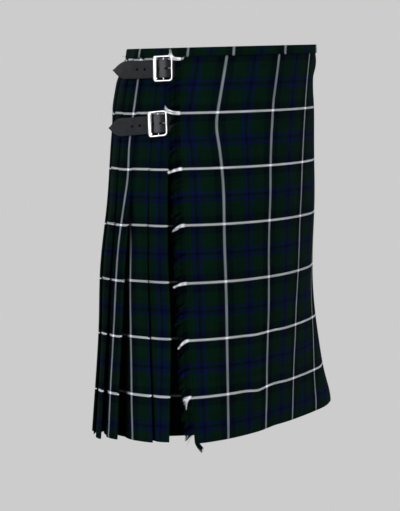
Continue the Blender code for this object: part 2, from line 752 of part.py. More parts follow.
def tab(which, material):
    """The leather tab that holds the buckle: flat on the pleats, then hooked round the bar on
    both sides of the prong."""
    loop = CENTRE_BAR + PIECE_GAP + TAB_WALL / 2
    angle = np.radians((-110, -60, -10, 40, 90, 135))
    hook_place = loop * np.cos(angle)
    hook_lift = CENTRE_LIFT + loop * np.sin(angle)
    place = np.concatenate((TAB_LENGTH * np.array([1.0, 0.6, 0.27, 0.1]), -hook_place))
    height = np.concatenate(([TAB_LIFT] * 4, hook_lift))
    near, far = [], []
    for share in (-1.0, -0.35, 0.35, 1.0):
        for side, grid in ((1, near), (-1, far)):
            along, up = moved_sideways(place, height, side * TAB_WALL / 2)
            grid.append(along_strap(which, share * TAB_WIDTH / 2, along, up))
    obj = wall("buckle_tab_" + which, np.array(near), np.array(far), material)
    half_slot = TAB_SLOT / 2
    low, high = (-0.006, -half_slot, -0.002), (0.0045, half_slot, 0.012)
    box_cut(obj, "slot_" + which, which, 0.0, low, high)
    return obj


def make_material(name, color, roughness, metallic=0.0):
    material = bpy.data.materials.new(name)
    material.use_nodes = True
    shader = material.node_tree.nodes["Principled BSDF"]
    shader.inputs["Base Color"].default_value = (*color, 1.0)
    shader.inputs["Roughness"].default_value = roughness
    shader.inputs["Metallic"].default_value = metallic
    material.diffuse_color = (*color, 1.0)
    return material


def clear_scene():
    for obj in list(bpy.data.objects):
        bpy.data.objects.remove(obj, do_unlink=True)


def build():
    clear_scene()
    green = make_material("tartan_green", (0.010, 0.045, 0.022), 0.85)
    navy = make_material("tartan_navy", (0.010, 0.014, 0.050), 0.85)
    inner = make_material("tartan_shade", (0.008, 0.020, 0.018), 0.90)
    leather = make_material("black_leather", (0.020, 0.020, 0.022), 0.42)
    steel = make_material("polished_nickel", (0.75, 0.75, 0.76), 0.12, 1.0)

    over_apron = cloth("over_apron", over_apron_line, ROWS, green)
    cloth("under_apron", under_apron_line, [*ROWS[:-1], LENGTH - UNDER_RISE], inner)
    cloth("pleated_back", pleat_line, ROWS, navy)
    waistband_over(green)
    waistband_back(navy)
    fringe(green)
    half_slit = np.array([SLIT_WIDTH / 2, SLIT_HEIGHT / 2, 0.006])
    box_cut(over_apron, "slit", "left", SLIT_ARC - STRAPS["left"]["arc"], -half_slit, half_slit)
    for which in STRAPS:
        strap(which, leather, through_slit() if which == "left" else sewn_under_edge(which))
        buckle(which, steel)
        prong(which, steel)
        tab(which, leather)


build()
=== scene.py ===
import math

import bpy
import numpy as np
from mathutils import Euler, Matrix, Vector


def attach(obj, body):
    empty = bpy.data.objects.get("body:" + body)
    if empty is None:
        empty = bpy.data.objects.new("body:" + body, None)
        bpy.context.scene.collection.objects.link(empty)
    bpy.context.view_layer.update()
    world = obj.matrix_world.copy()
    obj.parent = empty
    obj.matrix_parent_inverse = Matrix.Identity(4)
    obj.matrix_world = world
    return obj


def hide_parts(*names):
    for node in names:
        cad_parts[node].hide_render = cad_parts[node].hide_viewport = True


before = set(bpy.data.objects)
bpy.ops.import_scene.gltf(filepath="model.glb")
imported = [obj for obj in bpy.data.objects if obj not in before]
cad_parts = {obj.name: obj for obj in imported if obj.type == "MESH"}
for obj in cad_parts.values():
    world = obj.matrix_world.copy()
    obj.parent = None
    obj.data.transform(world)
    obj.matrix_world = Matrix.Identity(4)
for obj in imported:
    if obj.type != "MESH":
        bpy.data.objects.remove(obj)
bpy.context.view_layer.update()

print("stage 0: frame loaded with", len(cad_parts), "nodes")

# The wearer's body under the kilt: sections from the waist down. A place on the cloth is its
# drop below the waist, its arc round from the front centre and its lift off the section.
bodyForm = {
    "drop": [0.00, 0.10, 0.25, 0.35, 0.45, 0.61],
    "halfWidth": [0.166, 0.174, 0.194, 0.2032, 0.216, 0.258],
    "frontDepth": [0.164, 0.157, 0.147, 0.1386, 0.132, 0.132],
    "backDepth": [0.134, 0.146, 0.151, 0.1558, 0.160, 0.162],
    "frontRound": [2.0, 2.0, 2.0, 2.08, 2.2, 2.4],
    "backRound": [2.2, 2.8, 3.1, 3.65, 3.4, 3.1],
}

kiltEdges = {
    "drop": [0.00, 0.10, 0.21, 0.33, 0.45, 0.54, 0.61],
    "apronRight": [-0.2275, -0.2285, -0.2275, -0.2245, -0.2260, -0.2350, -0.2400],
    "firstFold": [-0.2375, -0.2445, -0.2535, -0.2550, -0.2555, -0.2690, -0.2820],
    "secondFold": [-0.2675, -0.2772, -0.2884, -0.2925, -0.2940, -0.3015, -0.3095],
    "thirdFold": [-0.2975, -0.3099, -0.3228, -0.3345, -0.3470, -0.3636, -0.3762],
    "fourthFold": [-0.3275, -0.3426, -0.3575, -0.3680, -0.3850, -0.4025, -0.4180],
    "apronLeft": [0.2523, 0.2545, 0.2585, 0.2630, 0.2690, 0.2760, 0.2830],
    "edgeLift": [0.0030, 0.0030, 0.0022, 0.0016, 0.0014, 0.0012, 0.0012],
    "underLift": [-0.0045, -0.0045, -0.0048, -0.0062, -0.0085, -0.0110, -0.0130],
}

cloth = {
    "length": 0.610,
    "wall": 0.0012,
    "seenWall": 0.0009,
    "layerGap": 0.0004,
    "pieceGap": 0.0003,
    "fell": 0.210,          # the pleats are sewn down to here
    "apronRise": 0.038,
    "underRise": 0.007,
    "bandDepth": 0.014,
    "seam": 0.0063,         # how far a hidden edge stops short of the fold behind it
    "fringeStrip": 0.003,
    "rows": 112,
    "foldPoints": 7,        # points round the outer turn of a fold
}

# The check: one repeat, and where its white lines run. whiteArc is the arc of one white warp
# line on the over apron at each drop.
sett = {
    "repeat": 0.088,
    "firstWeft": 0.014,
    "topStray": 0.004,      # the first weft row lies this much lower, fading out by topEnd
    "topEnd": 0.06,
    "drop": [0.00, 0.10, 0.25, 0.45, 0.61],
    "whiteArc": [-0.1538, -0.1658, -0.1628, -0.1624, -0.1799],
}

# How far the over apron's white lines stray from even spacing, in mm: three warp lines from
# the wearer's right, then the weft rows.
warpDrift = {
    "drop": [0.0, 0.06, 0.08, 0.125, 0.156, 0.20, 0.24, 0.30, 0.33, 0.39, 0.42, 0.47, 0.51, 0.555, 0.61],
    "first": [0, -1.4, -2.4, -5.6, -2.2, 0, -0.2, -0.9, -0.9, -0.9, -0.9, -0.9, -0.6, -0.5, -0.5],
    "second": [3.0, 3.5, 2.8, 2.6, 1.0, -1.0, -1.6, -3.0, -2.8, -1.0, 0, 0, 0.2, 1.9, 1.6],
    "third": [2.0, 2.0, 2.4, 2.2, 0.7, -1.3, -0.9, -0.9, 1.5, 3.3, 2.2, 0.7, -3.3, -5.3, -5.3],
}
weftDrift = {
    "drop": [0.0, 0.10, 0.19, 0.278, 0.366, 0.454, 0.542, 0.61],
    "down": [0, 0, -1.3, -1.4, 1.1, 2.1, 0.5, 0],
    "sagSpread": (0.045, 0.020),     # down and across
    # drop, arc and size of a local sag
    "sags": [(0.454, -0.105, 1.2), (0.542, -0.105, 3.4), (0.500, -0.057, -2.0)],
}

pleats = {
    "clothEach": 0.108,
    "mostOverlap": 0.9,
    "openPower": 1.3,
    "leftExtra": 0.0008,    # more air under the over apron's left edge
    "turn": 0.0022,         # thickest turn of a pressed fold
    "fellTight": (0.64, 0.20, 0.30),     # share of the spacing in the fell, and where it grows to the whole
    "puff": 0.0011,
    # painted shade: how dark the hidden cloth goes, and how dark a face goes as it dips under the next fold
    "gapShade": (0.90, 1.06),            # how dark the hidden cloth is, and the shaded part of a face
    # how the folds wander: size, turn from fold to fold and turn in each metre, and where it begins
    "wander": [(0.0012, 2.4, 17), (0.0006, 4.1, -41)],
    "wanderFrom": (0.24, 0.42),
    "firstWhite": 0.057,    # cloth from the first fold to a white line
    "face": [0, 0, 0, 36, 52, 44, 50, 41, 55, 46, 43, 52, 45, 50, 42, 54, 49],
    "air": [3.0, 9.5, 5.2, 3.4, 4.8, 3.0, 4.2, 3.6, 5.0, 3.2, 4.0, 4.6, 3.0, 4.4, 3.4, 4.8, 3.6],
    "late": [1.0, 1.0, 1.0, 1.0, 1.1, 0.9, 1.0, 1.2, 0.9, 1.0, 1.1, 1.0, 0.9, 1.0, 1.1, 1.0, 1.0],
    "lineDrop": [0.0, 0.04, 0.10, 0.15, 0.20, 0.24, 0.30, 0.33, 0.39, 0.44, 0.51, 0.555, 0.61],
    # mm that the second and third pleats' white lines lie to the front
    "secondLine": [0, 0, 0, 0, -2.0, -2.4, 4.0, 4.4, 1.5, 0.3, -0.4, -2.2, -2.4],
    "thirdLine": [3.0, 3.0, 1.5, -1.0, 1.5, 0, 0, 1.0, 0.3, -0.5, -0.8, -1.8, -2.6],
    # where the painted shade on a face begins and ends
    "shadeFrom": [(0.90, 1.0), (0.74, 0.84), (0.80, 1.0)],   # shares of a face
    "hemDrop": [0, 0.8, 2.2, 6.0, 0.5, 1.0],      # mm lower than the hem, from the first pleat
    "fellShift": [0, 0, 9, 4, 0, 0, 5, 0, 0, 3, 0, 6, 0, 0, 4, 0, 0],
    # mm that each pleat's weft rows lie lower
    "rowShift": [0.0, 0.6, -0.5, 0.4, -0.8, 0.5, 0.2, -0.6, 0.7, -0.3, 0.4, -0.7, 0.3, 0.6, -0.4, 0.2, -0.5],
}


def smoothColumn(table, name, drops):  # cubic pieces through a table's column
    x = np.array(table["drop"], float)
    y = np.array(table[name], float)
    slope = np.gradient(y, x)
    d = np.clip(np.asarray(drops, float), x[0], x[-1])
    i = np.clip(np.searchsorted(x, d, side="right") - 1, 0, len(x) - 2)
    width = x[i + 1] - x[i]
    t = (d - x[i]) / width
    start = (2 * t**3 - 3 * t**2 + 1) * y[i] + (t**3 - 2 * t**2 + t) * width * slope[i]
    return start + (3 * t**2 - 2 * t**3) * y[i + 1] + (t**3 - t**2) * width * slope[i + 1]


def edgeAt(name, drops):  # arc or lift of an edge at each drop
    return smoothColumn(kiltEdges, name, drops)


def smoothStep(low, high, x):  # t^2 (3 - 2 t), where t = (x - low) / (high - low)
    t = np.clip((np.asarray(x, float) - low) / (high - low), 0, 1)
    return t * t * (3 - 2 * t)


formRings = {"spacing": 0.0025, "levels": 256, "around": 1440}


def unit(vectors):  # each vector over its own length
    return vectors / np.maximum(np.linalg.norm(vectors, axis=-1, keepdims=True), 1e-9)


# Superellipse halves, x = halfWidth sin^(2/round) and y = -depth cos^(2/round), at even arcs: x, y
# and the outward normal, then the girth and the first arc
def sectionRing(drop):
    size = {name: float(smoothColumn(bodyForm, name, drop)) for name in bodyForm if name != "drop"}
    angle = np.linspace(-math.pi, math.pi, formRings["around"] + 1)
    s, c = np.sin(angle), np.cos(angle)
    power = 2 / np.where(c >= 0, size["frontRound"], size["backRound"])
    depth = np.where(c >= 0, size["frontDepth"], size["backDepth"])
    x = size["halfWidth"] * np.sign(s) * np.abs(s) ** power
    y = -depth * np.sign(c) * np.abs(c) ** power
    arc = np.concatenate(([0.0], np.cumsum(np.hypot(np.diff(x), np.diff(y)))))
    arc -= arc[formRings["around"] // 2]
    even = np.linspace(arc[0], arc[-1], formRings["around"] + 1)
    ex, ey = np.interp(even, arc, x), np.interp(even, arc, y)
    alongX, alongY = np.gradient(ex, even), np.gradient(ey, even)
    length = np.hypot(alongX, alongY)
    return np.stack((ex, ey, alongY / length, -alongX / length)), arc[-1] - arc[0], arc[0]


ringList = [sectionRing(i * formRings["spacing"]) for i in range(formRings["levels"])]
ringTable = np.array([ring[0] for ring in ringList])        # level, value, place round
ringGirth = np.array([ring[1] for ring in ringList])
ringStart = np.array([ring[2] for ring in ringList])


def girthAt(drops):  # the section's length round, between its nearest levels
    return np.interp(drops, np.arange(formRings["levels"]) * formRings["spacing"], ringGirth)


# Points on the body: the section at the drop, plus the lift times its outward normal
def wrapPoints(drops, arcs, lifts):
    drops, arcs, lifts = np.broadcast_arrays(*(np.asarray(a, float) for a in (drops, arcs, lifts)))
    level = np.clip(drops / formRings["spacing"], 0, formRings["levels"] - 1.001)
    low = np.floor(level).astype(int)
    found = 0.0
    for row, share in ((low, 1 - (level - low)), (low + 1, level - low)):
        place = ((arcs - ringStart[row]) / ringGirth[row]) % 1.0 * formRings["around"]
        column = np.minimum(np.floor(place).astype(int), formRings["around"] - 1)
        t = (place - column)[..., None]
        values = ringTable[row, :, column] * (1 - t) + ringTable[row, :, column + 1] * t
        found = found + share[..., None] * values
    points = np.empty(drops.shape + (3,))
    points[..., 0] = found[..., 0] + lifts * found[..., 2]
    points[..., 1] = found[..., 1] + lifts * found[..., 3]
    points[..., 2] = -drops
    return points


def movedSideways(along, across, distance):  # lines moved to their left, corners mitred
    stepA, stepB = np.diff(along, axis=-1), np.diff(across, axis=-1)
    length = np.maximum(np.hypot(stepA, stepB), 1e-9)
    left = np.stack((-stepB / length, stepA / length), axis=-1)
    after = np.concatenate((left, left[..., -1:, :]), axis=-2)
    middle = unit(np.concatenate((left[..., :1, :], left), axis=-2) + after)
    stretch = distance / np.maximum(0.6, (middle * after).sum(axis=-1))
    return along + stretch * middle[..., 0], across + stretch * middle[..., 1]


# Mesh making, all from arrays
def meshFromArrays(name, points, polygons, smoothAngle=50.0):
    mesh = bpy.data.meshes.new(name)
    corners = np.concatenate([np.asarray(p, np.int32).ravel() for p in polygons])
    sizes = np.concatenate([np.full(len(p), np.shape(p)[1], np.int32) for p in polygons])
    starts = np.concatenate(([0], np.cumsum(sizes)[:-1])).astype(np.int32)
    mesh.vertices.add(len(points))
    mesh.vertices.foreach_set("co", np.asarray(points, np.float32).ravel())
    mesh.loops.add(len(corners))
    mesh.loops.foreach_set("vertex_index", corners)
    mesh.polygons.add(len(sizes))
    mesh.polygons.foreach_set("loop_start", starts)
    mesh.update(calc_edges=True)
    mesh.validate()
    mesh.shade_smooth()
    mesh.set_sharp_from_angle(angle=math.radians(smoothAngle))
    return mesh


def facesOut(points, polygons):  # turns polygons round where they enclose a negative volume
    total = 0.0
    for group in polygons:
        group = np.asarray(group)
        first = points[group[:, 0]]
        for k in range(1, group.shape[1] - 1):
            total += np.einsum("ij,ij->i", first, np.cross(points[group[:, k]], points[group[:, k + 1]])).sum()
    return [np.asarray(group)[:, ::-1] for group in polygons] if total < 0 else polygons


def putUv(mesh, layerName, perVertex):  # each corner takes its vertex's place
    loops = np.empty(len(mesh.loops), np.int32)
    mesh.loops.foreach_get("vertex_index", loops)
    layer = mesh.uv_layers.new(name=layerName)
    layer.data.foreach_set("uv", np.asarray(perVertex, np.float32)[loops].ravel())


def putValue(mesh, name, perVertex):  # a number on each vertex, for the shaders
    attribute = mesh.attributes.new(name, "FLOAT", "POINT")
    attribute.data.foreach_set("value", np.asarray(perVertex, np.float32).ravel())


def finishPiece(name, mesh, material, slotName, *nodes):  # puts the piece on the root body with its material, and hides its nodes
    piece = bpy.data.objects.new(name, mesh)
    bpy.context.scene.collection.objects.link(piece)
    mesh.materials.append(material)
    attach(piece, "root")
    if nodes:
        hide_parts(*nodes)
    return piece


def shellPolygons(rows, columns):  # the quads of a closed wall between two grids
    grid = np.arange(rows * columns).reshape(rows, columns)
    corners = (grid[:-1, :-1], grid[:-1, 1:], grid[1:, 1:], grid[1:, :-1])
    front = np.stack(corners, axis=-1).reshape(-1, 4)
    behind = front[:, ::-1] + rows * columns
    rim = np.concatenate((grid[0, :], grid[1:, -1], grid[-1, -2::-1], grid[-2:0:-1, 0]))
    rimBack = rim + rows * columns
    sides = np.stack((rim, rimBack, np.roll(rimBack, -1), np.roll(rim, -1)), axis=-1)
    return [np.concatenate((front, behind, sides))]


def ringQuads(index):  # quads between each ring of points and the next one along
    ring, nextRing = index[..., :-1, :], index[..., 1:, :]
    return np.stack((ring, np.roll(ring, -1, -1), np.roll(nextRing, -1, -1), nextRing), axis=-1).reshape(-1, 4)


# A closed wall of cloth: the line of each row moved out and in by half the thickness, with its painted shade
# kept on the points as light
def clothShell(name, drops, arcs, lifts, uv, shade, material, slotName, *nodes):
    half = cloth["seenWall"] / 2
    sides = [wrapPoints(drops, *movedSideways(arcs, lifts, side)).reshape(-1, 3) for side in (half, -half)]
    points = np.concatenate(sides)
    mesh = meshFromArrays(name, points, facesOut(points, shellPolygons(*arcs.shape)))
    putUv(mesh, "cloth", np.tile(uv.reshape(-1, 2), (2, 1)))
    putValue(mesh, "light", np.tile(shade.ravel(), 2))
    return finishPiece(name, mesh, material, slotName, *nodes)


# Rings square to each path: point = path + wide cos(angle) first + high sin(angle) second
def tubes(paths, wide, high, sides, hint, closed=False):
    ahead = np.roll(paths, -1, axis=1) - np.roll(paths, 1, axis=1) if closed else np.gradient(paths, axis=1)
    ahead = unit(ahead)
    first = unit(np.cross(ahead, hint))
    second = np.cross(first, ahead)
    angle = np.linspace(0, 2 * math.pi, sides, endpoint=False)
    rings = paths[:, :, None] + (wide[..., None] * np.cos(angle))[..., None] * first[:, :, None]
    points = (rings + (high[..., None] * np.sin(angle))[..., None] * second[:, :, None]).reshape(-1, 3)
    index = np.arange(len(points)).reshape(*paths.shape[:2], sides)
    if closed:
        return points, facesOut(points, [ringQuads(np.concatenate((index, index[:, :1]), axis=1))])
    return points, facesOut(points, [ringQuads(index), np.concatenate((index[:, 0, ::-1], index[:, -1]))])


def joinShapes(shapes):  # several (points, polygons) as one
    points, groups, start = [], {}, 0
    for shapePoints, shapePolygons in shapes:
        for group in shapePolygons:
            groups.setdefault(np.shape(group)[1], []).append(np.asarray(group) + start)
        points.append(shapePoints)
        start += len(shapePoints)
    return np.concatenate(points), [np.concatenate(group) for group in groups.values()]


# Shader building
def newSocketGroup(name, inputs, outputs):
    group = bpy.data.node_groups.new(name, "ShaderNodeTree")
    for socketName, kind, value in inputs:
        socket = group.interface.new_socket(name=socketName, in_out="INPUT", socket_type=kind)
        if value is not None:
            socket.default_value = value
    for socketName, kind in outputs:
        group.interface.new_socket(name=socketName, in_out="OUTPUT", socket_type=kind)
    return group, group.nodes.new("NodeGroupInput"), group.nodes.new("NodeGroupOutput")


def feed(tree, socket, value):  # a link from a socket, or else a plain value
    if isinstance(value, bpy.types.NodeSocket):
        tree.links.new(value, socket)
    else:
        socket.default_value = value


def mathNode(tree, operation, a, b=None, c=None):  # operation of a, b and c
    node = tree.nodes.new("ShaderNodeMath")
    node.operation = operation
    for socket, value in zip(node.inputs, (a, b, c)):
        if value is not None:
            feed(tree, socket, value)
    return node.outputs[0]


def times(tree, *values):  # the product of all the values
    product = values[0]
    for value in values[1:]:
        product = mathNode(tree, "MULTIPLY", product, value)
    return product


def awayFrom(tree, value, middle):  # distance of a value from a middle
    return mathNode(tree, "ABSOLUTE", mathNode(tree, "SUBTRACT", value, middle))


# a (1 - share) + b share, or the blend's own sum
def mixColors(tree, share, a, b, blend="MIX"):
    node = tree.nodes.new("ShaderNodeMix")
    node.data_type = "RGBA"
    node.blend_type = blend
    feed(tree, node.inputs[0], share)
    feed(tree, node.inputs[6], a)
    feed(tree, node.inputs[7], b)
    return node.outputs[2]


def tinted(tree, color, shade):  # color times shade
    return mixColors(tree, 1.0, color, shade, "MULTIPLY")


def pointValue(tree, name):  # a value that the mesh's points carry
    node = tree.nodes.new("ShaderNodeAttribute")
    node.attribute_name = name
    return node.outputs["Fac"]


def noiseNode(tree, vector, scale, detail=2.0, roughness=0.5):  # smooth noise, from 0 to 1
    node = tree.nodes.new("ShaderNodeTexNoise")
    feed(tree, node.inputs["Vector"], vector)
    for name, value in (("Scale", scale), ("Detail", detail), ("Roughness", roughness)):
        node.inputs[name].default_value = value
    return node.outputs["Fac"]


# toLow + (toHigh - toLow) (value - low) / (high - low), kept between them
def mapRange(tree, value, low, high, toLow=0.0, toHigh=1.0):
    node = tree.nodes.new("ShaderNodeMapRange")
    feed(tree, node.inputs[0], value)
    for socket, number in zip(list(node.inputs)[1:5], (low, high, toLow, toHigh)):
        socket.default_value = number
    return node.outputs[0]


# The normal leans with the slope of height times distance
def bumpNode(tree, height, distance, strength=1.0, normal=None):
    node = tree.nodes.new("ShaderNodeBump")
    node.inputs["Strength"].default_value = strength
    node.inputs["Distance"].default_value = distance
    feed(tree, node.inputs["Height"], height)
    if normal is not None:
        feed(tree, node.inputs["Normal"], normal)
    return node.outputs["Normal"]


yarns = {
    "white": (0.92, 0.94, 0.97, 1.0),
    "soft": (0.42, 0.46, 0.50, 1.0),      # the white warp is beaten down by the weft
    "dark": (0.0012, 0.0030, 0.0058, 1.0),
    "green": (0.0018, 0.0105, 0.0054, 1.0),
    "blue": (0.0030, 0.0050, 0.0360, 1.0),
    "perRepeat": 100.0,
    "uneven": (0.82, 1.18),     # darkest and lightest yarn of a colour
    "crossing": 1.0,        # how much more white shows where white yarns cross white yarns
    # half of the repeat, from the middle of a white line: where each colour begins
    "warp": [(0.0, "soft"), (0.022, "dark"), (0.155, "green"), (0.410, "blue"), (0.470, "dark")],
    "weft": [(0.0, "white"), (0.0195, "dark"), (0.155, "green"), (0.410, "blue"), (0.470, "dark")],
}


def makeSettGroup(way):  # colour of the yarn at a place across the stripes, in repeats
    tree, enter, leave = newSocketGroup(
        way + "Stripes", [("Place", "NodeSocketFloat", 0.0)], [("Color", "NodeSocketColor")]
    )
    place = enter.outputs["Place"]
    folded = mathNode(tree, "FRACT", mathNode(tree, "ADD", place, 0.5))
    ramp = tree.nodes.new("ShaderNodeValToRGB")
    ramp.color_ramp.interpolation = "CONSTANT"
    elements = ramp.color_ramp.elements
    while len(elements) < len(yarns[way]):
        elements.new(1.0)
    for element, (start, colorName) in zip(elements, yarns[way]):
        element.position = start
        element.color = yarns[colorName]
    feed(tree, ramp.inputs[0], awayFrom(tree, folded, 0.5))
    chance = tree.nodes.new("ShaderNodeTexWhiteNoise")
    chance.noise_dimensions = "1D"
    feed(tree, chance.inputs["W"], mathNode(tree, "FLOOR", times(tree, place, yarns["perRepeat"])))
    shade = mapRange(tree, chance.outputs["Value"], 0.0, 1.0, *yarns["uneven"])
    tree.links.new(tinted(tree, ramp.outputs["Color"], shade), leave.inputs["Color"])
    return tree


def makeTwillGroup():  # 2/2 twill: which yarn is on top, and the height of its rib
    tree, enter, leave = newSocketGroup(
        "twillWeave",
        [("Across", "NodeSocketFloat", 0.0), ("Down", "NodeSocketFloat", 0.0)],
        [("Warp On Top", "NodeSocketFloat"), ("Height", "NodeSocketFloat")],
    )
    counts = [times(tree, enter.outputs[way], yarns["perRepeat"]) for way in ("Across", "Down")]
    stepNumber = mathNode(tree, "ADD", *[mathNode(tree, "FLOOR", count) for count in counts])
    phase = mathNode(tree, "FRACT", times(tree, stepNumber, 0.25))
    warpOnTop = mathNode(tree, "LESS_THAN", phase, 0.49)
    ribs = [mathNode(tree, "ABSOLUTE", mathNode(tree, "SINE", times(tree, count, math.pi))) for count in counts]
    height = mathNode(tree, "MULTIPLY_ADD", mathNode(tree, "SUBTRACT", *ribs), warpOnTop, ribs[1])
    tree.links.new(warpOnTop, leave.inputs["Warp On Top"])
    tree.links.new(height, leave.inputs["Height"])
    return tree


def makeFuzzGroup():  # soft patches of nap, and fine fibre noise
    tree, enter, leave = newSocketGroup(
        "woolNap",
        [("Vector", "NodeSocketVector", None)],
        [("Shade", "NodeSocketFloat"), ("Fibre", "NodeSocketFloat"), ("Roughness", "NodeSocketFloat")],
    )
    patches = noiseNode(tree, enter.outputs["Vector"], 38.0, 3.0)
    fibre = noiseNode(tree, enter.outputs["Vector"], 1400.0, 2.0, 0.6)
    tree.links.new(mapRange(tree, patches, 0.3, 0.7, 0.86, 1.12), leave.inputs["Shade"])
    tree.links.new(fibre, leave.inputs["Fibre"])
    tree.links.new(mapRange(tree, fibre, 0.3, 0.7, 0.84, 0.98), leave.inputs["Roughness"])
    return tree


def makeGrainGroup():  # leather: cells of grain with creases between, and fine pores
    tree, enter, leave = newSocketGroup(
        "leatherGrain",
        [("Vector", "NodeSocketVector", None), ("Scale", "NodeSocketFloat", 900.0)],
        [("Height", "NodeSocketFloat"), ("Shade", "NodeSocketFloat")],
    )
    cells = tree.nodes.new("ShaderNodeTexVoronoi")
    cells.feature = "DISTANCE_TO_EDGE"
    feed(tree, cells.inputs["Vector"], enter.outputs["Vector"])
    feed(tree, cells.inputs["Scale"], enter.outputs["Scale"])
    pebble = mapRange(tree, cells.outputs["Distance"], 0.0, 0.18)
    broad = noiseNode(tree, enter.outputs["Vector"], 90.0, 3.0)
    height = mathNode(tree, "MULTIPLY_ADD", broad, 0.6, pebble)
    tree.links.new(height, leave.inputs["Height"])
    tree.links.new(mapRange(tree, broad, 0.3, 0.7, 0.75, 1.25), leave.inputs["Shade"])
    return tree


warpGroup, weftGroup = makeSettGroup("warp"), makeSettGroup("weft")
twillGroup, napGroup, grainGroup = makeTwillGroup(), makeFuzzGroup(), makeGrainGroup()


def placeGroup(tree, group, **values):  # a node group with its inputs fed
    node = tree.nodes.new("ShaderNodeGroup")
    node.node_tree = group
    for name, value in values.items():
        feed(tree, node.inputs[name], value)
    return node.outputs


def newMaterial(name, uniform):  # uniform: the shader's plain numbers
    material = bpy.data.materials.new(name)
    material.use_nodes = True
    shader = material.node_tree.nodes["Principled BSDF"]
    for socketName, value in uniform.items():
        shader.inputs[socketName].default_value = value
    return material, material.node_tree, shader


def clothPlace(tree):  # repeats of the check across and down
    uvMap = tree.nodes.new("ShaderNodeUVMap")
    uvMap.uv_map = "cloth"
    split = tree.nodes.new("ShaderNodeSeparateXYZ")
    tree.links.new(uvMap.outputs["UV"], split.inputs[0])
    return split.outputs["X"], split.outputs["Y"]


def objectPlace(tree):  # metres in the piece's own space
    return tree.nodes.new("ShaderNodeTexCoord").outputs["Object"]


wool = {"Specular IOR Level": 0.015, "Sheen Weight": 0.002}


# The upper yarn's colour, plus crossing times warp times weft, times the painted shade and highlight of the
# twill's ribs, the nap, and the painted shade that the points carry as light
def tartanMaterial(name, shadeLow, weaveDepth):
    material, tree, shader = newMaterial(name, {**wool, "Sheen Roughness": 0.4})
    across, down = clothPlace(tree)
    warp = placeGroup(tree, warpGroup, Place=across)["Color"]
    weft = placeGroup(tree, weftGroup, Place=down)["Color"]
    twill = placeGroup(tree, twillGroup, Across=across, Down=down)
    nap = placeGroup(tree, napGroup, Vector=objectPlace(tree))
    woven = mixColors(tree, twill["Warp On Top"], weft, warp)
    woven = mixColors(tree, yarns["crossing"], woven, tinted(tree, warp, weft), "ADD")
    # painted shade in the grooves of the twill, and a painted highlight on its rib tops
    rib = mapRange(tree, twill["Height"], 0.0, 1.0, shadeLow, 1.08)
    # light: painted shade on hidden and recessed cloth, kept on the points
    shade = times(tree, rib, nap["Shade"], pointValue(tree, "light"))
    fibreBump = bumpNode(tree, nap["Fibre"], 0.00012, 0.5)
    feed(tree, shader.inputs["Base Color"], tinted(tree, woven, shade))
    feed(tree, shader.inputs["Roughness"], nap["Roughness"])
    feed(tree, shader.inputs["Normal"], bumpNode(tree, twill["Height"], weaveDepth, 0.8, fibreBump))
    return material


def yarnMaterial():  # loose weft yarns keep the colour of the row they come from
    material, tree, shader = newMaterial("fringeYarn", wool)
    alongYarn, down = clothPlace(tree)
    weft = placeGroup(tree, weftGroup, Place=down)["Color"]
    nap = placeGroup(tree, napGroup, Vector=objectPlace(tree))
    ply = mathNode(tree, "SINE", times(tree, alongYarn, 700.0))
    # painted shade and highlight along the twist of the plies
    plyShade = mapRange(tree, ply, -1.0, 1.0, 0.75, 1.1)
    feed(tree, shader.inputs["Base Color"], tinted(tree, weft, times(tree, plyShade, nap["Shade"])))
    feed(tree, shader.inputs["Roughness"], nap["Roughness"])
    feed(tree, shader.inputs["Normal"], bumpNode(tree, ply, 0.0001, 0.7))
    return material


leather = {
    "color": (0.016, 0.017, 0.020, 1.0),
    "edgeColor": (0.005, 0.005, 0.006, 1.0),
    # painted highlight on the strap's hump over the centre bar
    "paintedHighlightColor": (0.075, 0.078, 0.085, 1.0),
    "roughness": (0.44, 0.60),
    "rubbedShare": 0.50,            # of the roughness
    "grainScale": 950.0,
    "dyedEdge": (0.0002, 0.0012),   # from the edge
    "crease": (0.0026, 0.0006, 1.6),     # the line pressed beside the edge: place, half width, height
    "bump": (0.00022, 0.6),
}


# Colour times grain, dark at the dyed edge, with a painted highlight on the hump over the centre bar, which is
# also smoother as rubbed leather, and a crease along the edge
def leatherMaterial(name, withEdges):
    material, tree, shader = newMaterial(name, {"Specular IOR Level": 0.16})
    grain = placeGroup(tree, grainGroup, Vector=objectPlace(tree), Scale=leather["grainScale"])
    color, height = tinted(tree, leather["color"], grain["Shade"]), grain["Height"]
    rough = mapRange(tree, height, 0.2, 1.5, *leather["roughness"])
    if withEdges:
        edge, rubbedAndPaintedHighlight = pointValue(tree, "fromEdge"), pointValue(tree, "rubbedAndPaintedHighlight")
        dyed = mapRange(tree, edge, *leather["dyedEdge"], 1.0, 0.0)
        color = mixColors(tree, dyed, color, leather["edgeColor"])
        # a painted highlight on the hump's crest, where the leather is also smoother as if rubbed
        color = mixColors(tree, rubbedAndPaintedHighlight, color, leather["paintedHighlightColor"])
        place, halfWidth, deep = leather["crease"]
        crease = mapRange(tree, awayFrom(tree, edge, place), 0.0, halfWidth)
        height = mathNode(tree, "MULTIPLY_ADD", crease, deep, height)
        rough = times(tree, rough, mapRange(tree, rubbedAndPaintedHighlight, 0.0, 1.0, 1.0, leather["rubbedShare"]))
    feed(tree, shader.inputs["Base Color"], color)
    feed(tree, shader.inputs["Roughness"], rough)
    feed(tree, shader.inputs["Normal"], bumpNode(tree, height, *leather["bump"]))
    return material


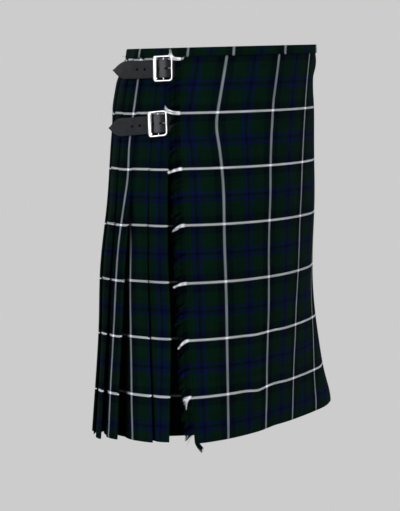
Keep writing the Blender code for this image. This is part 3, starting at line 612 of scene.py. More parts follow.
# Smudges change the roughness and the tint, and fine scratches tip the normal
def nickelMaterial():
    material, tree, shader = newMaterial("polishedNickel", {"Metallic": 1.0})
    place = objectPlace(tree)
    smudge, scratch = noiseNode(tree, place, 160.0, 4.0), noiseNode(tree, place, 2600.0, 1.0)
    tint = mapRange(tree, smudge, 0.3, 0.75, 0.93, 1.0)
    feed(tree, shader.inputs["Roughness"], mapRange(tree, smudge, 0.35, 0.7, 0.07, 0.22))
    feed(tree, shader.inputs["Base Color"], tinted(tree, (0.86, 0.86, 0.87, 1.0), tint))
    feed(tree, shader.inputs["Normal"], bumpNode(tree, scratch, 0.00003, 0.35))
    return material


# Colour times a fine noise that stands for the twist
def threadMaterial():
    material, tree, shader = newMaterial("sewingThread", {"Roughness": 0.85, "Specular IOR Level": 0.05})
    twist = noiseNode(tree, objectPlace(tree), 2200.0, 1.0)
    shade = mapRange(tree, twist, 0.3, 0.7, 0.6, 1.3)
    feed(tree, shader.inputs["Base Color"], tinted(tree, (0.0012, 0.0030, 0.0028, 1.0), shade))
    feed(tree, shader.inputs["Normal"], bumpNode(tree, twist, 0.0001, 0.6))
    return material


materials = {
    "apron": tartanMaterial("tartanApron", 0.72, 0.00016),
    "pleats": tartanMaterial("tartanPleats", 0.72, 0.00016),
    "band": tartanMaterial("tartanBand", 0.66, 0.00018),
    "yarn": yarnMaterial(),
    "strap": leatherMaterial("strapLeather", True),
    "tab": leatherMaterial("tabLeather", False),
    "nickel": nickelMaterial(),
    "thread": threadMaterial(),
}
print("stage 1: materials ready")


# Rows and folds shared by the cloth pieces
def rowDrops(last):
    return np.linspace(0.0015, last, cloth["rows"])


def openShare(drops):  # 0 down to the fell, then 1 at the hem: (drop - fell) / (length - fell)
    return np.clip((drops - cloth["fell"]) / (cloth["length"] - cloth["fell"]), 0, 1)


# Rows by 18: four stated folds, then first + (last - first) times the sum of shares, where a share
# goes from 1/count in the fell to its part of the hem, plus the wander. The last is the apron's edge.
def foldArcs(drops):
    column = drops[:, None]
    stated = np.stack([edgeAt(name + "Fold", drops) for name in ("first", "second", "third", "fourth")], axis=1)
    first, last = stated[:, -1], edgeAt("apronLeft", drops) - girthAt(drops)
    hem = np.array(pleats["face"][3:], float)
    count = len(hem)
    opened = openShare(column) ** np.array(pleats["late"][3:])
    share = 1 / count + (hem / hem.sum() - 1 / count) * opened
    share /= share.sum(axis=1, keepdims=True)
    fold = np.arange(count)
    wander = sum(size * np.sin(fold * each + column * down) for size, each, down in pleats["wander"])
    wander[:, -1] = 0
    wander *= smoothStep(*pleats["wanderFrom"], column)
    places = first[:, None] + (last - first)[:, None] * np.cumsum(share, axis=1) + wander
    return np.concatenate((stated, places), axis=1)


# Rows by 18, the spacing of the layers at each fold: wall + gap + air times open^openPower
def layerSteps(drops):
    air = np.array(pleats["air"]) / 1000
    steps = cloth["wall"] + cloth["layerGap"] + air * openShare(drops)[:, None] ** pleats["openPower"]
    steps[:, -1] += pleats["leftExtra"]
    return np.concatenate((-edgeAt("underLift", drops)[:, None] / 2, steps), axis=1)


# How far the cloth goes in behind each fold: (cloth - face) / 2, but at most mostOverlap times the
# smaller of the two faces beside it
def hiddenDepths(places):
    face = -np.diff(places, axis=1)
    ahead = np.concatenate((face, face[:, -1:]), axis=1)
    behind = np.concatenate((face[:, :1], face), axis=1)
    return np.minimum((pleats["clothEach"] - behind) / 2, pleats["mostOverlap"] * np.minimum(ahead, behind))


def faceDip(t):  # how a pleat's face curves in to go under the next fold
    return 0.45 * t + 0.55 * t**3


def weftPlace(drops, top=sett["topStray"]):  # rows of the check below the first white one
    top = top * (1 - smoothStep(0.0, sett["topEnd"], drops))
    return (drops - sett["firstWeft"] - top) / sett["repeat"]


def weftStray(drops, arcs):  # how much lower a weft row lies than even spacing puts it
    stray = smoothColumn(weftDrift, "down", drops) + 0.0 * arcs
    down, across = weftDrift["sagSpread"]
    for drop, arc, size in weftDrift["sags"]:
        stray = stray + size * np.exp(-(((arcs - arc) / across) ** 2) - ((drops - drop) / down) ** 2)
    return stray / 1000


# Soft creases and swells, placed on the cloth, in metres
apronCreases = {
    # drop, arc, half length, half width, lean and lift
    "rows": [
        (0.030, 0.085, 0.028, 0.022, 0.10, 0.0022),
        (0.052, 0.090, 0.010, 0.030, 0.00, -0.0014),
        (0.060, -0.120, 0.060, 0.018, -0.25, 0.0012),
        (0.150, -0.060, 0.090, 0.024, 0.15, 0.0010),
        (0.190, 0.140, 0.100, 0.026, -0.20, 0.0018),
        (0.330, 0.070, 0.140, 0.030, 0.08, 0.0014),
        (0.420, -0.150, 0.120, 0.026, -0.10, 0.0012),
        (0.500, -0.030, 0.130, 0.034, 0.05, 0.0018),
        (0.520, 0.120, 0.140, 0.030, -0.06, 0.0024),
        (0.540, 0.200, 0.120, 0.022, 0.04, -0.0016),
        (0.560, -0.100, 0.090, 0.022, 0.00, -0.0012),
        (0.260, 0.020, 0.070, 0.018, 0.30, -0.0008),
        (0.064, 0.115, 0.028, 0.060, 0.00, -0.0042),
        (0.405, 0.100, 0.090, 0.090, 0.00, -0.0052),
        (0.604, 0.150, 0.036, 0.085, 0.00, 0.0066),
    ],
}


def creaseLift(drops, arcs):  # long soft ridges: lift = height exp(-along^2 - across^2)
    lift = np.zeros(np.broadcast(drops, arcs).shape)
    for drop, arc, halfLength, halfWidth, lean, height in apronCreases["rows"]:
        alongIt = (drops - drop) / halfLength
        acrossIt = (arcs - arc - lean * (drops - drop)) / halfWidth
        lift += height * np.exp(-(alongIt**2) - acrossIt**2)
    return lift


def edgeRise(drops, arcs):  # the over apron rises over the layers beside it towards its right edge
    rise = np.clip((edgeAt("apronRight", drops) + cloth["apronRise"] - arcs) / cloth["apronRise"], 0, 1)
    return edgeAt("edgeLift", drops) * rise**2 * (3 - 2 * rise)


def apronLift(drops, arcs):  # the rise, and the creases, which fade out towards the edges
    inside = smoothStep(0.0, 0.04, arcs - edgeAt("apronRight", drops))
    inside = inside * smoothStep(0.0, 0.03, edgeAt("apronLeft", drops) - arcs)
    return edgeRise(drops, arcs) + creaseLift(drops, arcs) * inside * smoothStep(0.010, 0.030, drops)


def foldTurn(arc, lift, step):  # the rounded outer turn of a fold: half a circle across the step
    angle = np.radians(np.linspace(-90, 90, cloth["foldPoints"]))
    return arc[:, None] + step[:, None] / 2 * np.cos(angle), lift - step[:, None] / 2 * (1 - np.sin(angle))


waist = {
    "hip": [(-0.345, -0.310), (-0.62, -0.50)],     # arcs: behind the right hip, fading out round the back
    "swell": 0.0028,
    "swellDrop": [(0.035, 0.055), (0.085, 0.125)],
    "dip": 0.0050,
    "dipDrop": (0.006, 0.040),
}


def waistDip(drops, arcs):  # the waist is drawn in behind the right hip, and swells below the band
    (front, side), (start, end) = waist["hip"], waist["swellDrop"]
    hip = (1 - smoothStep(*front, arcs)) * smoothStep(*side, arcs)
    swell = waist["swell"] * smoothStep(*start, drops) * (1 - smoothStep(*end, drops))
    return hip * (swell - waist["dip"] * (1 - smoothStep(*waist["dipDrop"], drops)))


def layerLift(step, tight, distance):  # a fold is pressed flat at its edge and opens behind it
    return tight + (step - tight) * smoothStep(0.0, 0.030, distance)


overForm = {
    "columns": 126,
    "turn": 0.0026,         # thickest turn at the folded left edge
    "firstRow": (0.004, -0.005, 0.0035, 0.0060),    # its stray at the edge and inside, and where it changes
    "hemWave": (0.0008, 23, 0.8),
    "hemSag": (0.0030, -0.11, -0.06),               # size, and the arcs where it ends
    "hemFrom": (0.50, 0.61),
    # painted shade on the cloth turned in behind the left edge: how dark, and how soon
    "shade": (0.8, 0.006),  # how dark the turned in cloth is, and how soon
}


# The front runs from edge to edge, turns round the left edge and goes back behind it
def buildOverApron():
    drops = rowDrops(cloth["length"])
    column = drops[:, None]
    right, left = edgeAt("apronRight", column), edgeAt("apronLeft", column)
    step = layerSteps(drops)[:, -1]
    depth = hiddenDepths(foldArcs(drops))[:, -1:]
    front = right + (left - right) * np.linspace(0, 1, overForm["columns"])
    tight = np.minimum(step, overForm["turn"])
    turnArcs, turnLifts = foldTurn(left[:, 0], 0.0, tight)
    hidden = np.linspace(0.06, 1, 9) * (depth - cloth["seam"])
    arcs = np.concatenate((front[:, :-1], turnArcs[:, ::-1], left - hidden), axis=1)
    hiddenLift = -layerLift(step[:, None], tight[:, None], hidden)
    lifts = np.concatenate((apronLift(column, front)[:, :-1], turnLifts[:, ::-1], hiddenLift), axis=1)
    white = smoothColumn(sett, "whiteArc", column)
    evenPlace = (front[:, :-1] - white) / sett["repeat"]
    strays = [smoothColumn(warpDrift, name, column) / 1000 for name in ("first", "second", "third")]
    early, late = np.clip(evenPlace, 0, 1), np.clip(evenPlace - 1, 0, 1)
    stray = strays[0] + (strays[1] - strays[0]) * early + (strays[2] - strays[1]) * late
    edgeU = (left - white - strays[2]) / sett["repeat"]
    turnU = np.repeat(edgeU, cloth["foldPoints"], axis=1)
    frontU, hiddenU = evenPlace - stray / sett["repeat"], edgeU + hidden / sett["repeat"]
    across = np.concatenate((frontU, turnU, hiddenU), axis=1)
    outer, inner, start, end = overForm["firstRow"]
    top = outer + (inner - outer) * smoothStep(start, end, arcs - right)
    uv = np.stack((across, weftPlace(column - weftStray(column, arcs), top)), axis=-1)
    wave, perMetre, phase = overForm["hemWave"]
    sag, *ends = overForm["hemSag"]
    hemWave = wave * np.sin(arcs * perMetre + phase) + sag * (1 - smoothStep(*ends, arcs))
    dropsAll = column + hemWave * smoothStep(*overForm["hemFrom"], column)
    # painted shade on the turned in cloth behind the left edge
    dark, reach = overForm["shade"]
    turnedIn = np.arange(arcs.shape[1]) > overForm["columns"] + 2
    shade = 1 - dark * smoothStep(0.0, reach, left - arcs) * turnedIn
    nodes = ("tartan_apron", "over_apron")
    return clothShell("overApron", dropsAll, arcs, lifts, uv, shade, materials["apron"], *nodes)


# Each pleat in turn: its fold, its face, which dips towards the next fold, then the cloth that goes
# in behind that fold, turns and comes back to it
def buildPleats():
    drops = rowDrops(cloth["length"])
    column = drops[:, None]
    places, steps = foldArcs(drops), layerSteps(drops)
    tightShare, *grows = pleats["fellTight"]
    steps[:, 1:-1] *= tightShare + (1 - tightShare) * smoothStep(*grows, column)
    depths = hiddenDepths(places)
    opened = openShare(column)
    faces = -np.diff(places, axis=1)
    count, each = faces.shape[1], pleats["clothEach"]
    turns = np.minimum(steps, pleats["turn"])
    parts = []      # arcs, lifts, cloth, the rows' shift and the shade of each stretch

    def faceLift(i, distance):
        if i >= count:
            return np.zeros_like(distance)
        t = distance / faces[:, [i]]
        puff = pleats["puff"] * np.sin(np.clip(t, 0, 1) * math.pi) * opened
        return -2 * steps[:, [i + 1]] * faceDip(t) + puff

    def returnLift(i, distance):
        return faceLift(i, distance) - layerLift(steps[:, [i]], turns[:, [i]], distance)

    # hidden: how much painted shade a stretch gets, for the shadow behind the folds
    def add(pleat, arcs, lifts, clothAt, hidden=0.0):
        rowShift = pleats["rowShift"][min(pleat, count - 1)] / 1000
        shade = 1 - pleats["gapShade"][0] * hidden
        parts.append(np.broadcast_arrays(arcs, lifts, clothAt, rowShift, shade))

    start = (depths[:, :1] - cloth["seam"]) * np.linspace(1, 0.06, 6)
    add(0, places[:, :1] - start, returnLift(0, start), -start, 1.0)
    for i in range(count):
        add(i, *foldTurn(places[:, i], 0.0, turns[:, i]), i * each)
        t = 1 - (1 - np.linspace(0.04, 1, 12)) ** 1.25
        distance = t * faces[:, [i]]
        # painted shade on the face where it dips under the next fold, as the pleats open
        deep = smoothStep(*pleats["shadeFrom"][min(i, 2)], t) * smoothStep(0.0, 0.12, opened)
        deep = pleats["gapShade"][1] * deep
        add(i, places[:, [i]] - distance, faceLift(i, distance), i * each + distance, deep)
        fold, depth, step = places[:, [i + 1]], depths[:, [i + 1]], steps[:, [i + 1]]
        onward = depth * np.array([0.3, 0.65, 1.0])
        add(i, fold - onward, faceLift(i + 1, onward) - 2 * step, i * each + faces[:, [i]] + onward, 1.0)
        angle = np.radians([-40.0, 0.0, 40.0])
        turnLift = faceLift(i + 1, depth) - 1.5 * step + step / 2 * np.sin(angle)
        add(i, fold - depth - step / 2 * np.cos(angle), turnLift, (i + 1) * each - depth, 1.0)
        back = depth * np.array([1.0, 0.75, 0.5, 0.28, 0.10])
        if i + 1 == count:
            back = depth - np.array([0.0, 0.003, 0.006])
        # painted shade on the cloth coming back out from behind the fold, fading as it comes out
        lit = smoothStep(0.2, 1.0, back / depth)
        add(i + 1, fold - back, returnLift(i + 1, back), (i + 1) * each - back, lit)
    arcs, lifts, cloths, rows, shade = (np.concatenate(stretch, axis=1) for stretch in zip(*parts))
    pleatNumber = np.clip(np.floor(cloths / each + 1e-6).astype(int), 0, count - 1)
    shift = np.array(pleats["fellShift"])[pleatNumber] / 1000 * (1 - smoothStep(0.20, 0.34, column))
    lines = {"drop": pleats["lineDrop"], **pleats}
    for pleat, name in ((1, "secondLine"), (2, "thirdLine")):
        shift = shift + (pleatNumber == pleat) * smoothColumn(lines, name, column) / 1000
    across = (cloths - pleats["firstWhite"] + shift) / sett["repeat"]
    uv = np.stack((across, weftPlace(column + rows)), axis=-1)
    hem = 0.8 * np.array(pleats["rowShift"])
    hem[: len(pleats["hemDrop"])] += pleats["hemDrop"]
    dropsAll = column + hem[pleatNumber] / 1000 * smoothStep(0.52, 0.61, column)
    lifts = lifts + waistDip(column, arcs)
    nodes = ("tartan_pleats", "pleated_back")
    return clothShell("pleatedBack", dropsAll, arcs, lifts, uv, shade, materials["pleats"], *nodes)


# shade: painted shade over the whole under apron, for the deep recess behind the over apron's edge
underForm = {"columns": 70, "reach": 21 / 24, "phase": 1.04, "shade": 0.07}


# From the seam behind the first pleat it turns back, comes out and runs on behind the over apron
def buildUnderApron():
    drops = rowDrops(cloth["length"] - cloth["underRise"])
    column = drops[:, None]
    places, steps = foldArcs(drops), layerSteps(drops)
    step, after = steps[:, :1], steps[:, 1:2]
    depth, face = hiddenDepths(places)[:, :1], -np.diff(places, axis=1)[:, :1]

    def firstFace(distance):
        return -2 * after * faceDip(distance / face)

    seam = np.array([cloth["seam"], 0.003, 0.0])
    turn = np.radians([40.0, 0.0, -40.0])
    inner, outward = places[:, :1] - depth, depth * np.array([1.0, 0.7, 0.4, 0.1])
    right, left = edgeAt("apronRight", column), edgeAt("apronLeft", column)
    front = right + (left - right) * np.linspace(0, underForm["reach"], underForm["columns"])
    turnLift = firstFace(depth) - 1.5 * step + step / 2 * np.sin(turn)
    arcs = [inner + seam, inner - step / 2 * np.cos(turn), places[:, :1] - outward, front]
    lifts = [firstFace(depth - seam) - step, turnLift, firstFace(outward) - 2 * step, -2 * step + 0 * front]
    arcs, lifts = np.concatenate(arcs, axis=1), np.concatenate(lifts, axis=1)
    dropsAll = column + 0 * arcs
    across = (arcs - places[:, :1]) / sett["repeat"] + underForm["phase"]
    uv = np.stack((across, weftPlace(dropsAll)), axis=-1)
    # painted shade for the recess, over the whole piece
    shade = np.full(arcs.shape, underForm["shade"])
    nodes = ("tartan_apron", "under_apron")
    return clothShell("underApron", dropsAll, arcs, lifts, uv, shade, materials["apron"], *nodes)


overApron, pleatedBack, underApron = buildOverApron(), buildPleats(), buildUnderApron()
print("stage 2: aprons and pleats made")

waistband = {
    "wall": 0.0012,
    "roundness": 0.0010,
    "backKnots": [-0.7050, -0.6700, -0.3050, -0.2680, -0.2385, -0.2285, -0.1900, 0.1850],
    "backOuter": [0.0015, 0.0015, 0.0015, 0.0015, 0.0015, -0.0002, -0.0030, -0.0030],
    "backInner": [-0.0095, -0.0080, -0.0080, -0.0092, -0.0090, -0.0062, -0.0062, -0.0062],
    "overMarks": [-0.2159, -0.1455, -0.0534, 0.0600],     # arcs of the white marks on the front strip
    "backMark": -0.3064,
    "columns": (150, 330),      # over, back
    "topPlace": 0.855,
    "slack": 0.0003,
    "deepen": (0.034, 0.024),   # before the left fold the strip's inside goes behind its layers
}


# A folded strip: down the front from the rounded top, and up behind it, carried along the arcs
def bandSurface(name, arcs, outer, inner, across, *nodes):
    depth, crown, soft = cloth["bandDepth"], waistband["wall"] / 2, waistband["roundness"]
    bend = np.radians([30.0, 60.0, 90.0])
    downs, turn = np.linspace(depth, crown + soft, 6), crown + soft - soft * np.sin(bend)
    drops = np.concatenate((downs, turn, turn[::-1], downs[::-1]))
    shape = np.concatenate((np.zeros(6), soft * (1 - np.cos(bend))))
    lifts = np.concatenate((outer[:, None] - shape, inner[:, None] + shape[::-1]), axis=1)
    lifts = lifts + waistDip(0.0 * drops, arcs[:, None])
    slack = waistband["slack"] * np.sin(arcs[:, None] * 61 + drops * 240)
    lifts = lifts + slack * (np.arange(len(drops)) < 6)
    grids = []
    for side in (crown, -crown):
        drop, lift = movedSideways(drops + 0 * lifts, lifts, side)
        grids.append(wrapPoints(drop, arcs[:, None] * girthAt(drop) / girthAt(depth / 2), lift).reshape(-1, 3))
    points = np.concatenate(grids)
    mesh = meshFromArrays(name, points, facesOut(points, shellPolygons(*lifts.shape)))
    path = np.concatenate(([0], np.cumsum(np.hypot(np.diff(drops), np.diff(lifts[0])))))
    uv = np.stack(np.broadcast_arrays(across[:, None], waistband["topPlace"] - path / sett["repeat"]), axis=-1)
    putUv(mesh, "cloth", np.tile(uv.reshape(-1, 2), (2, 1)))
    putValue(mesh, "light", np.ones(len(points)))
    return finishPiece(name, mesh, materials["band"], "tartan_band", *nodes)


# The over apron's band lies on both sides of its lift, at reach = half walls + gap; its inside goes
# deeper before the left fold. The back one follows its knots.
def buildBands():
    drop, repeat = np.array([cloth["bandDepth"] / 2]), sett["repeat"]
    right, left = float(edgeAt("apronRight", drop)[0]), float(edgeAt("apronLeft", drop)[0])
    places, steps = foldArcs(drop), layerSteps(drop)
    depth = float(hiddenDepths(places)[0, -1])
    overColumns, backColumns = waistband["columns"]
    arcs = np.linspace(right, left - cloth["pieceGap"], overColumns)
    reach = cloth["wall"] / 2 + cloth["pieceGap"] + waistband["wall"] / 2
    lift = apronLift(drop[:, None], arcs[None, :])[0]
    before, length = waistband["deepen"]
    deep = np.clip((arcs - arcs[-1] + depth + before) / length, 0, 1)
    inner = lift - reach + deep * (-2 * steps[0, -1] - cloth["pieceGap"])
    marks = waistband["overMarks"]
    across = np.interp(arcs, [marks[0] - repeat, *marks, marks[-1] + 4 * repeat], [-1, 0, 1, 2, 3, 7])
    over = bandSurface("waistbandOver", arcs, lift + reach, inner, across, "waistband_over")
    start, stop = float(places[0, -1]) + 0.0030, right + (left - right) * underForm["reach"]
    arcs = np.linspace(start, stop, backColumns)
    knots = waistband["backKnots"]
    outer, inner = (np.interp(arcs, knots, waistband[name]) for name in ("backOuter", "backInner"))
    across = (arcs - waistband["backMark"]) / repeat
    return over, bandSurface("waistbandBack", arcs, outer, inner, across, "waistband_back")


waistbandOver, waistbandBack = buildBands()
print("stage 3: waistbands made")

# The straps' places: the buckle's centre bar, and the way the strap runs round the body
strapPlaces = {
    "upper": {"drop": 0.0324, "arc": -0.2558, "way": -1, "tilt": 0.023, "stand": 0.0160},
    "lower": {"drop": 0.1189, "arc": -0.2650, "way": -1, "tilt": 0.083, "stand": 0.0100},
    "left": {"drop": 0.0360, "arc": 0.2900, "way": 1, "tilt": 0.0, "stand": 0.0130},
}
strapSize = {
    "width": 0.0286,
    "wall": 0.0020,
    "free": 0.096,
    "point": 0.024,
    "sewn": 0.015,
    "humpFoot": 0.0058,
    "humpFlat": 1.35,       # above 1 the hump's top is flat
    "holes": [0.0490, 0.0347, 0.0079],
    "holeHalf": (0.0023, 0.0020),
    "slot": (-0.0072, 0.0033, 0.0014),      # for the prong: place, half length, half height
    # where the hump's painted highlight and smoother rubbed leather lie
    "rubbedAndPaintedHighlight": (0.45, 0.12),                 # shares of half the buckle's length
    # the left strap comes out through the cloth at this arc
    "through": 0.2140,
    "throughSteps": [-0.0420, -0.0200, -0.0042, 0.0042, 0.0100, 0.0400],
    "inside": -0.0026,
    "edgeGap": 0.0008,
    "lastPoint": (0.0062, 0.0024),          # past the over apron's edge: distance and lift
}
buckleSize = {
    "height": 0.0380,
    "length": 0.0328,
    "corner": 0.0052,
    "bar": 0.00185,
    "thickBar": 0.0038,
    "lift": 0.0069,
    "centreBar": 0.0013,
    "centreLift": 0.0045,
    "prong": 0.00075,
}


# A point on the body under a tilted strap: the distance along it and below its middle are turned by
# the tilt, and the arc leans with the body so that the strap's width stays upright
def strapPoint(which, distance, below=0.0, lift=0.0):
    place = strapPlaces[which]
    drop, arc, way, tilt = (place[name] for name in ("drop", "arc", "way", "tilt"))
    level = unit(wrapPoints(drop, arc + way * 0.004, 0.0) - wrapPoints(drop, arc - way * 0.004, 0.0))
    lean = (wrapPoints(drop - 0.01, arc, 0.0) - wrapPoints(drop + 0.01, arc, 0.0)) @ level / 0.02
    down = distance * math.sin(tilt) + below * math.cos(tilt)
    across = distance * math.cos(tilt) - below * math.sin(tilt)
    return wrapPoints(drop + down, arc + way * (across + lean * down), lift)


def strapBasis(which, distance=0.0):  # the strap's own directions: along it, up it and out
    origin = strapPoint(which, distance)
    alongIt = unit(strapPoint(which, distance + 0.004) - strapPoint(which, distance - 0.004))
    up = strapPoint(which, distance, -0.01) - strapPoint(which, distance, 0.01)
    up = unit(up - alongIt * (up @ alongIt))
    out = np.cross(alongIt, up)
    if out @ (strapPoint(which, distance, 0.0, 0.01) - origin) < 0:
        out = -out
    return origin, alongIt, up, out


def alongStrap(which, below, distances, lifts):  # a lift also rises by the strap's own slant
    points = strapPoint(which, distances, below, lifts)
    points[..., 2] += lifts * strapBasis(which)[3][2]
    return points


# Low under the buckle's sides, a hump over its centre bar, then an end that stands off: stand free^2
def strapLifts(which, distance):
    half, wall, gap = buckleSize["length"] / 2, strapSize["wall"], cloth["pieceGap"]
    low = buckleSize["lift"] - buckleSize["bar"] - 2 * gap - wall / 2
    high = buckleSize["centreLift"] + buckleSize["centreBar"] + 3 * gap + 2 * buckleSize["prong"] + wall / 2
    hump = smoothStep(0, 1, 1 - np.abs(distance) / (half - strapSize["humpFoot"]))
    hump = np.minimum(1.0, hump * strapSize["humpFlat"])
    free = np.clip((distance - half) / (strapSize["free"] - half), 0, 1)
    return low + (high - low) * hump + strapPlaces[which]["stand"] * free**2


def sewnEnd(which):  # the strap's first points: distance from the centre bar, and lift
    place, gap, wall = strapPlaces[which], cloth["pieceGap"], strapSize["wall"]
    if which == "left":
        inside, outside = strapSize["inside"], cloth["wall"] / 2 + 3 * gap + wall / 2
        at = strapSize["through"] + np.array(strapSize["throughSteps"]) - place["arc"]
        return at, np.array([inside, inside, inside, outside, outside + gap, outside + gap])
    right = float(edgeAt("apronRight", place["drop"]))
    places = right + strapSize["sewn"] * np.array([1.0, 0.5, 0.0])
    under = edgeRise(place["drop"], places) - cloth["wall"] / 2 - 4 * gap - wall / 2
    slant = math.tan(place["tilt"]) * strapSize["width"] / 2
    clear = place["arc"] - right + cloth["fringeStrip"] + strapSize["edgeGap"] + slant
    after, lift = strapSize["lastPoint"]
    return np.append(place["arc"] - places, (clear, clear + after)), np.append(under, (under[-1], lift))


def punchedMesh(mesh, cutters):  # the mesh with holes cut by exact booleans
    holder = bpy.data.objects.new("punching", mesh)
    bpy.context.scene.collection.objects.link(holder)
    helpers = []
    for points, polygons in cutters:
        helper = bpy.data.objects.new("punch", meshFromArrays("punch", points, polygons))
        bpy.context.scene.collection.objects.link(helper)
        cut = holder.modifiers.new("cut", "BOOLEAN")
        cut.object, cut.operation, cut.solver = helper, "DIFFERENCE", "EXACT"
        helpers.append(helper)
    seen = holder.evaluated_get(bpy.context.evaluated_depsgraph_get())
    done = bpy.data.meshes.new_from_object(seen)
    for helper in [holder, *helpers]:
        bpy.data.objects.remove(helper, do_unlink=True)
    done.shade_smooth()
    done.set_sharp_from_angle(angle=math.radians(40))
    return done


def strapProfile():  # shares of half width and half wall round the strap's rounded section
    cap = np.radians(np.linspace(-90, 90, 9))
    flat = np.linspace(1, -1, 15)[1:-1]
    b = np.concatenate((np.cos(cap), flat * 0, -np.cos(cap), flat * 0))
    h = np.concatenate((np.sin(cap), np.ones(13), np.sin(cap)[::-1], -np.ones(13)))
    core = np.concatenate((np.ones(9), flat, -np.ones(9), -flat))
    return core, b, h


# The rounded section carried along the line of lifts, with a rounded point: half width times
# 1 - (1 - left / point)^1.7. The holes are cut out by rods.
def buildStrap(which):
    half, free, point = buckleSize["length"] / 2, strapSize["free"], strapSize["point"]
    at, lift = sewnEnd(which)
    rise = np.array([0.1, 0.21, 0.31, 0.42, 0.52, 0.65, 0.82, 1.0])
    over = half * np.concatenate((-rise[::-1], [0.0], rise))
    rest = np.concatenate((over, np.linspace(half + 0.004, free - point, 16)))
    tip = free - point * np.linspace(0.95, 0.0, 16) ** 1.3
    place = np.concatenate((at, rest, tip))
    lifts = np.concatenate((lift, strapLifts(which, np.concatenate((rest, tip)))))
    fine = np.sort(np.concatenate((np.linspace(place[0], free - point, 90), tip)))
    order = np.argsort(place)
    lifts = np.interp(fine, place[order], lifts[order])
    lifts[1:-1] = np.convolve(lifts, [0.2, 0.6, 0.2], mode="valid")
    left = np.clip((free - fine) / point, 0, 1)
    halfWidth = strapSize["width"] / 2 * np.maximum(1 - (1 - left) ** 1.7, 0.1)
    core, b, h = strapProfile()
    wall = strapSize["wall"] / 2
    edge = wall * 0.8
    below = (halfWidth[:, None] - edge) * core + edge * b
    lines = [line[None, :].repeat(len(h), 0) for line in (fine, lifts)]
    along, up = movedSideways(*lines, (wall * h)[:, None])
    points = alongStrap(which, below, along.T, up.T).reshape(-1, 3)
    index = np.arange(below.size).reshape(below.shape)
    polygons = facesOut(points, [ringQuads(index), np.stack((index[0, ::-1], index[-1]))])
    mesh = meshFromArrays("strap", points, polygons, 40)
    fromTip = (free - fine)[:, None] * 0.75 + 0 * below
    putValue(mesh, "fromEdge", np.minimum(halfWidth[:, None] - np.abs(below), fromTip))
    # a painted highlight on the hump's crest over the centre bar, where the leather is also smoother
    outer, inner = strapSize["rubbedAndPaintedHighlight"]
    putValue(mesh, "rubbedAndPaintedHighlight", smoothStep(half * outer, half * inner, np.abs(fine))[:, None] + 0 * below)
    shapes, cuts = [], [(hole, *strapSize["holeHalf"]) for hole in strapSize["holes"]]
    for place, halfLong, halfHigh in [*cuts, strapSize["slot"]]:
        origin, alongIt, _, out = strapBasis(which, place)
        rod = (origin + np.array([[-0.004], [0.045]]) * out)[None]
        shapes.append(tubes(rod, np.full((1, 2), halfHigh), np.full((1, 2), halfLong), 20, alongIt))
    name = "strap" + which.capitalize()
    mesh = punchedMesh(mesh, shapes)
    return finishPiece(name, mesh, materials["strap"], "strap_leather", "strap_" + which)


# A bar round a rectangle with rounded corners, thicker on the side of the strap's way, and the centre bar
def buildBuckle(which):
    origin, alongIt, up, out = strapBasis(which)
    halfLong, halfHigh, corner = buckleSize["length"] / 2, buckleSize["height"] / 2, buckleSize["corner"]
    longFlat, highFlat = halfLong - corner, halfHigh - corner
    turn = np.radians(np.linspace(0, 90, 13))
    flat = []
    for quarter, (sx, sy) in enumerate(((1, 1), (-1, 1), (-1, -1), (1, -1))):
        angle = turn + quarter * math.pi / 2
        x, y = sx * longFlat + corner * np.cos(angle), sy * highFlat + corner * np.sin(angle)
        flat.append(np.stack((x, y), axis=1))
        ends = np.array([[sx * longFlat, sy * halfHigh], [-sx * longFlat, sy * halfHigh]])
        if quarter in (1, 3):
            ends = np.array([[sx * halfLong, sy * highFlat], [sx * halfLong, -sy * highFlat]])
        flat.append(ends[0] + (ends[1] - ends[0]) * np.linspace(0, 1, 14)[1:-1, None])
    flat = np.concatenate(flat)
    near = smoothStep(longFlat, halfLong, flat[:, 0])
    wide = buckleSize["bar"] + (buckleSize["thickBar"] - buckleSize["bar"]) * near
    flat[:, 0] -= wide - buckleSize["bar"]
    path = origin + flat[:, :1] * alongIt + flat[:, 1:] * up + buckleSize["lift"] * out
    high = np.full(len(flat), buckleSize["bar"])
    ring = tubes(path[None], wide[None], high[None], 20, out, closed=True)
    rod = (origin + np.linspace(-halfHigh, halfHigh, 12)[:, None] * up + buckleSize["centreLift"] * out)[None]
    rodSize = np.full((1, 12), buckleSize["centreBar"])
    mesh = meshFromArrays("buckle", *joinShapes([ring, tubes(rod, rodSize, rodSize, 16, out)]))
    name = "buckle" + which.capitalize()
    return finishPiece(name, mesh, materials["nickel"], "buckle_metal", "buckle_" + which)


def catmullRom(points, steps):  # smooth curve through every point
    p = np.vstack((2 * points[0] - points[1], points, 2 * points[-1] - points[-2]))
    t = np.linspace(0, 1, steps, endpoint=False)[:, None, None]
    a, b, c, d = p[:-3], p[1:-2], p[2:-1], p[3:]
    square, cube = 2 * a - 5 * b + 4 * c - d, 3 * b - a - 3 * c + d
    curve = 0.5 * (2 * b + (c - a) * t + square * t**2 + cube * t**3)
    return np.vstack((curve.transpose(1, 0, 2).reshape(-1, points.shape[1]), points[-1:]))


prongForm = {
    "hook": (40, 239, 33),      # degrees round the centre bar
    # distance from the centre bar, and lift
    "arm": [(-0.0022, 0.0020), (-0.0045, 0.0029), (-0.0066, 0.0048), (-0.0085, 0.0071), (-0.0108, 0.0087)],
    "tip": (0.0022, 0.0003),    # past the buckle's bar, and down
}


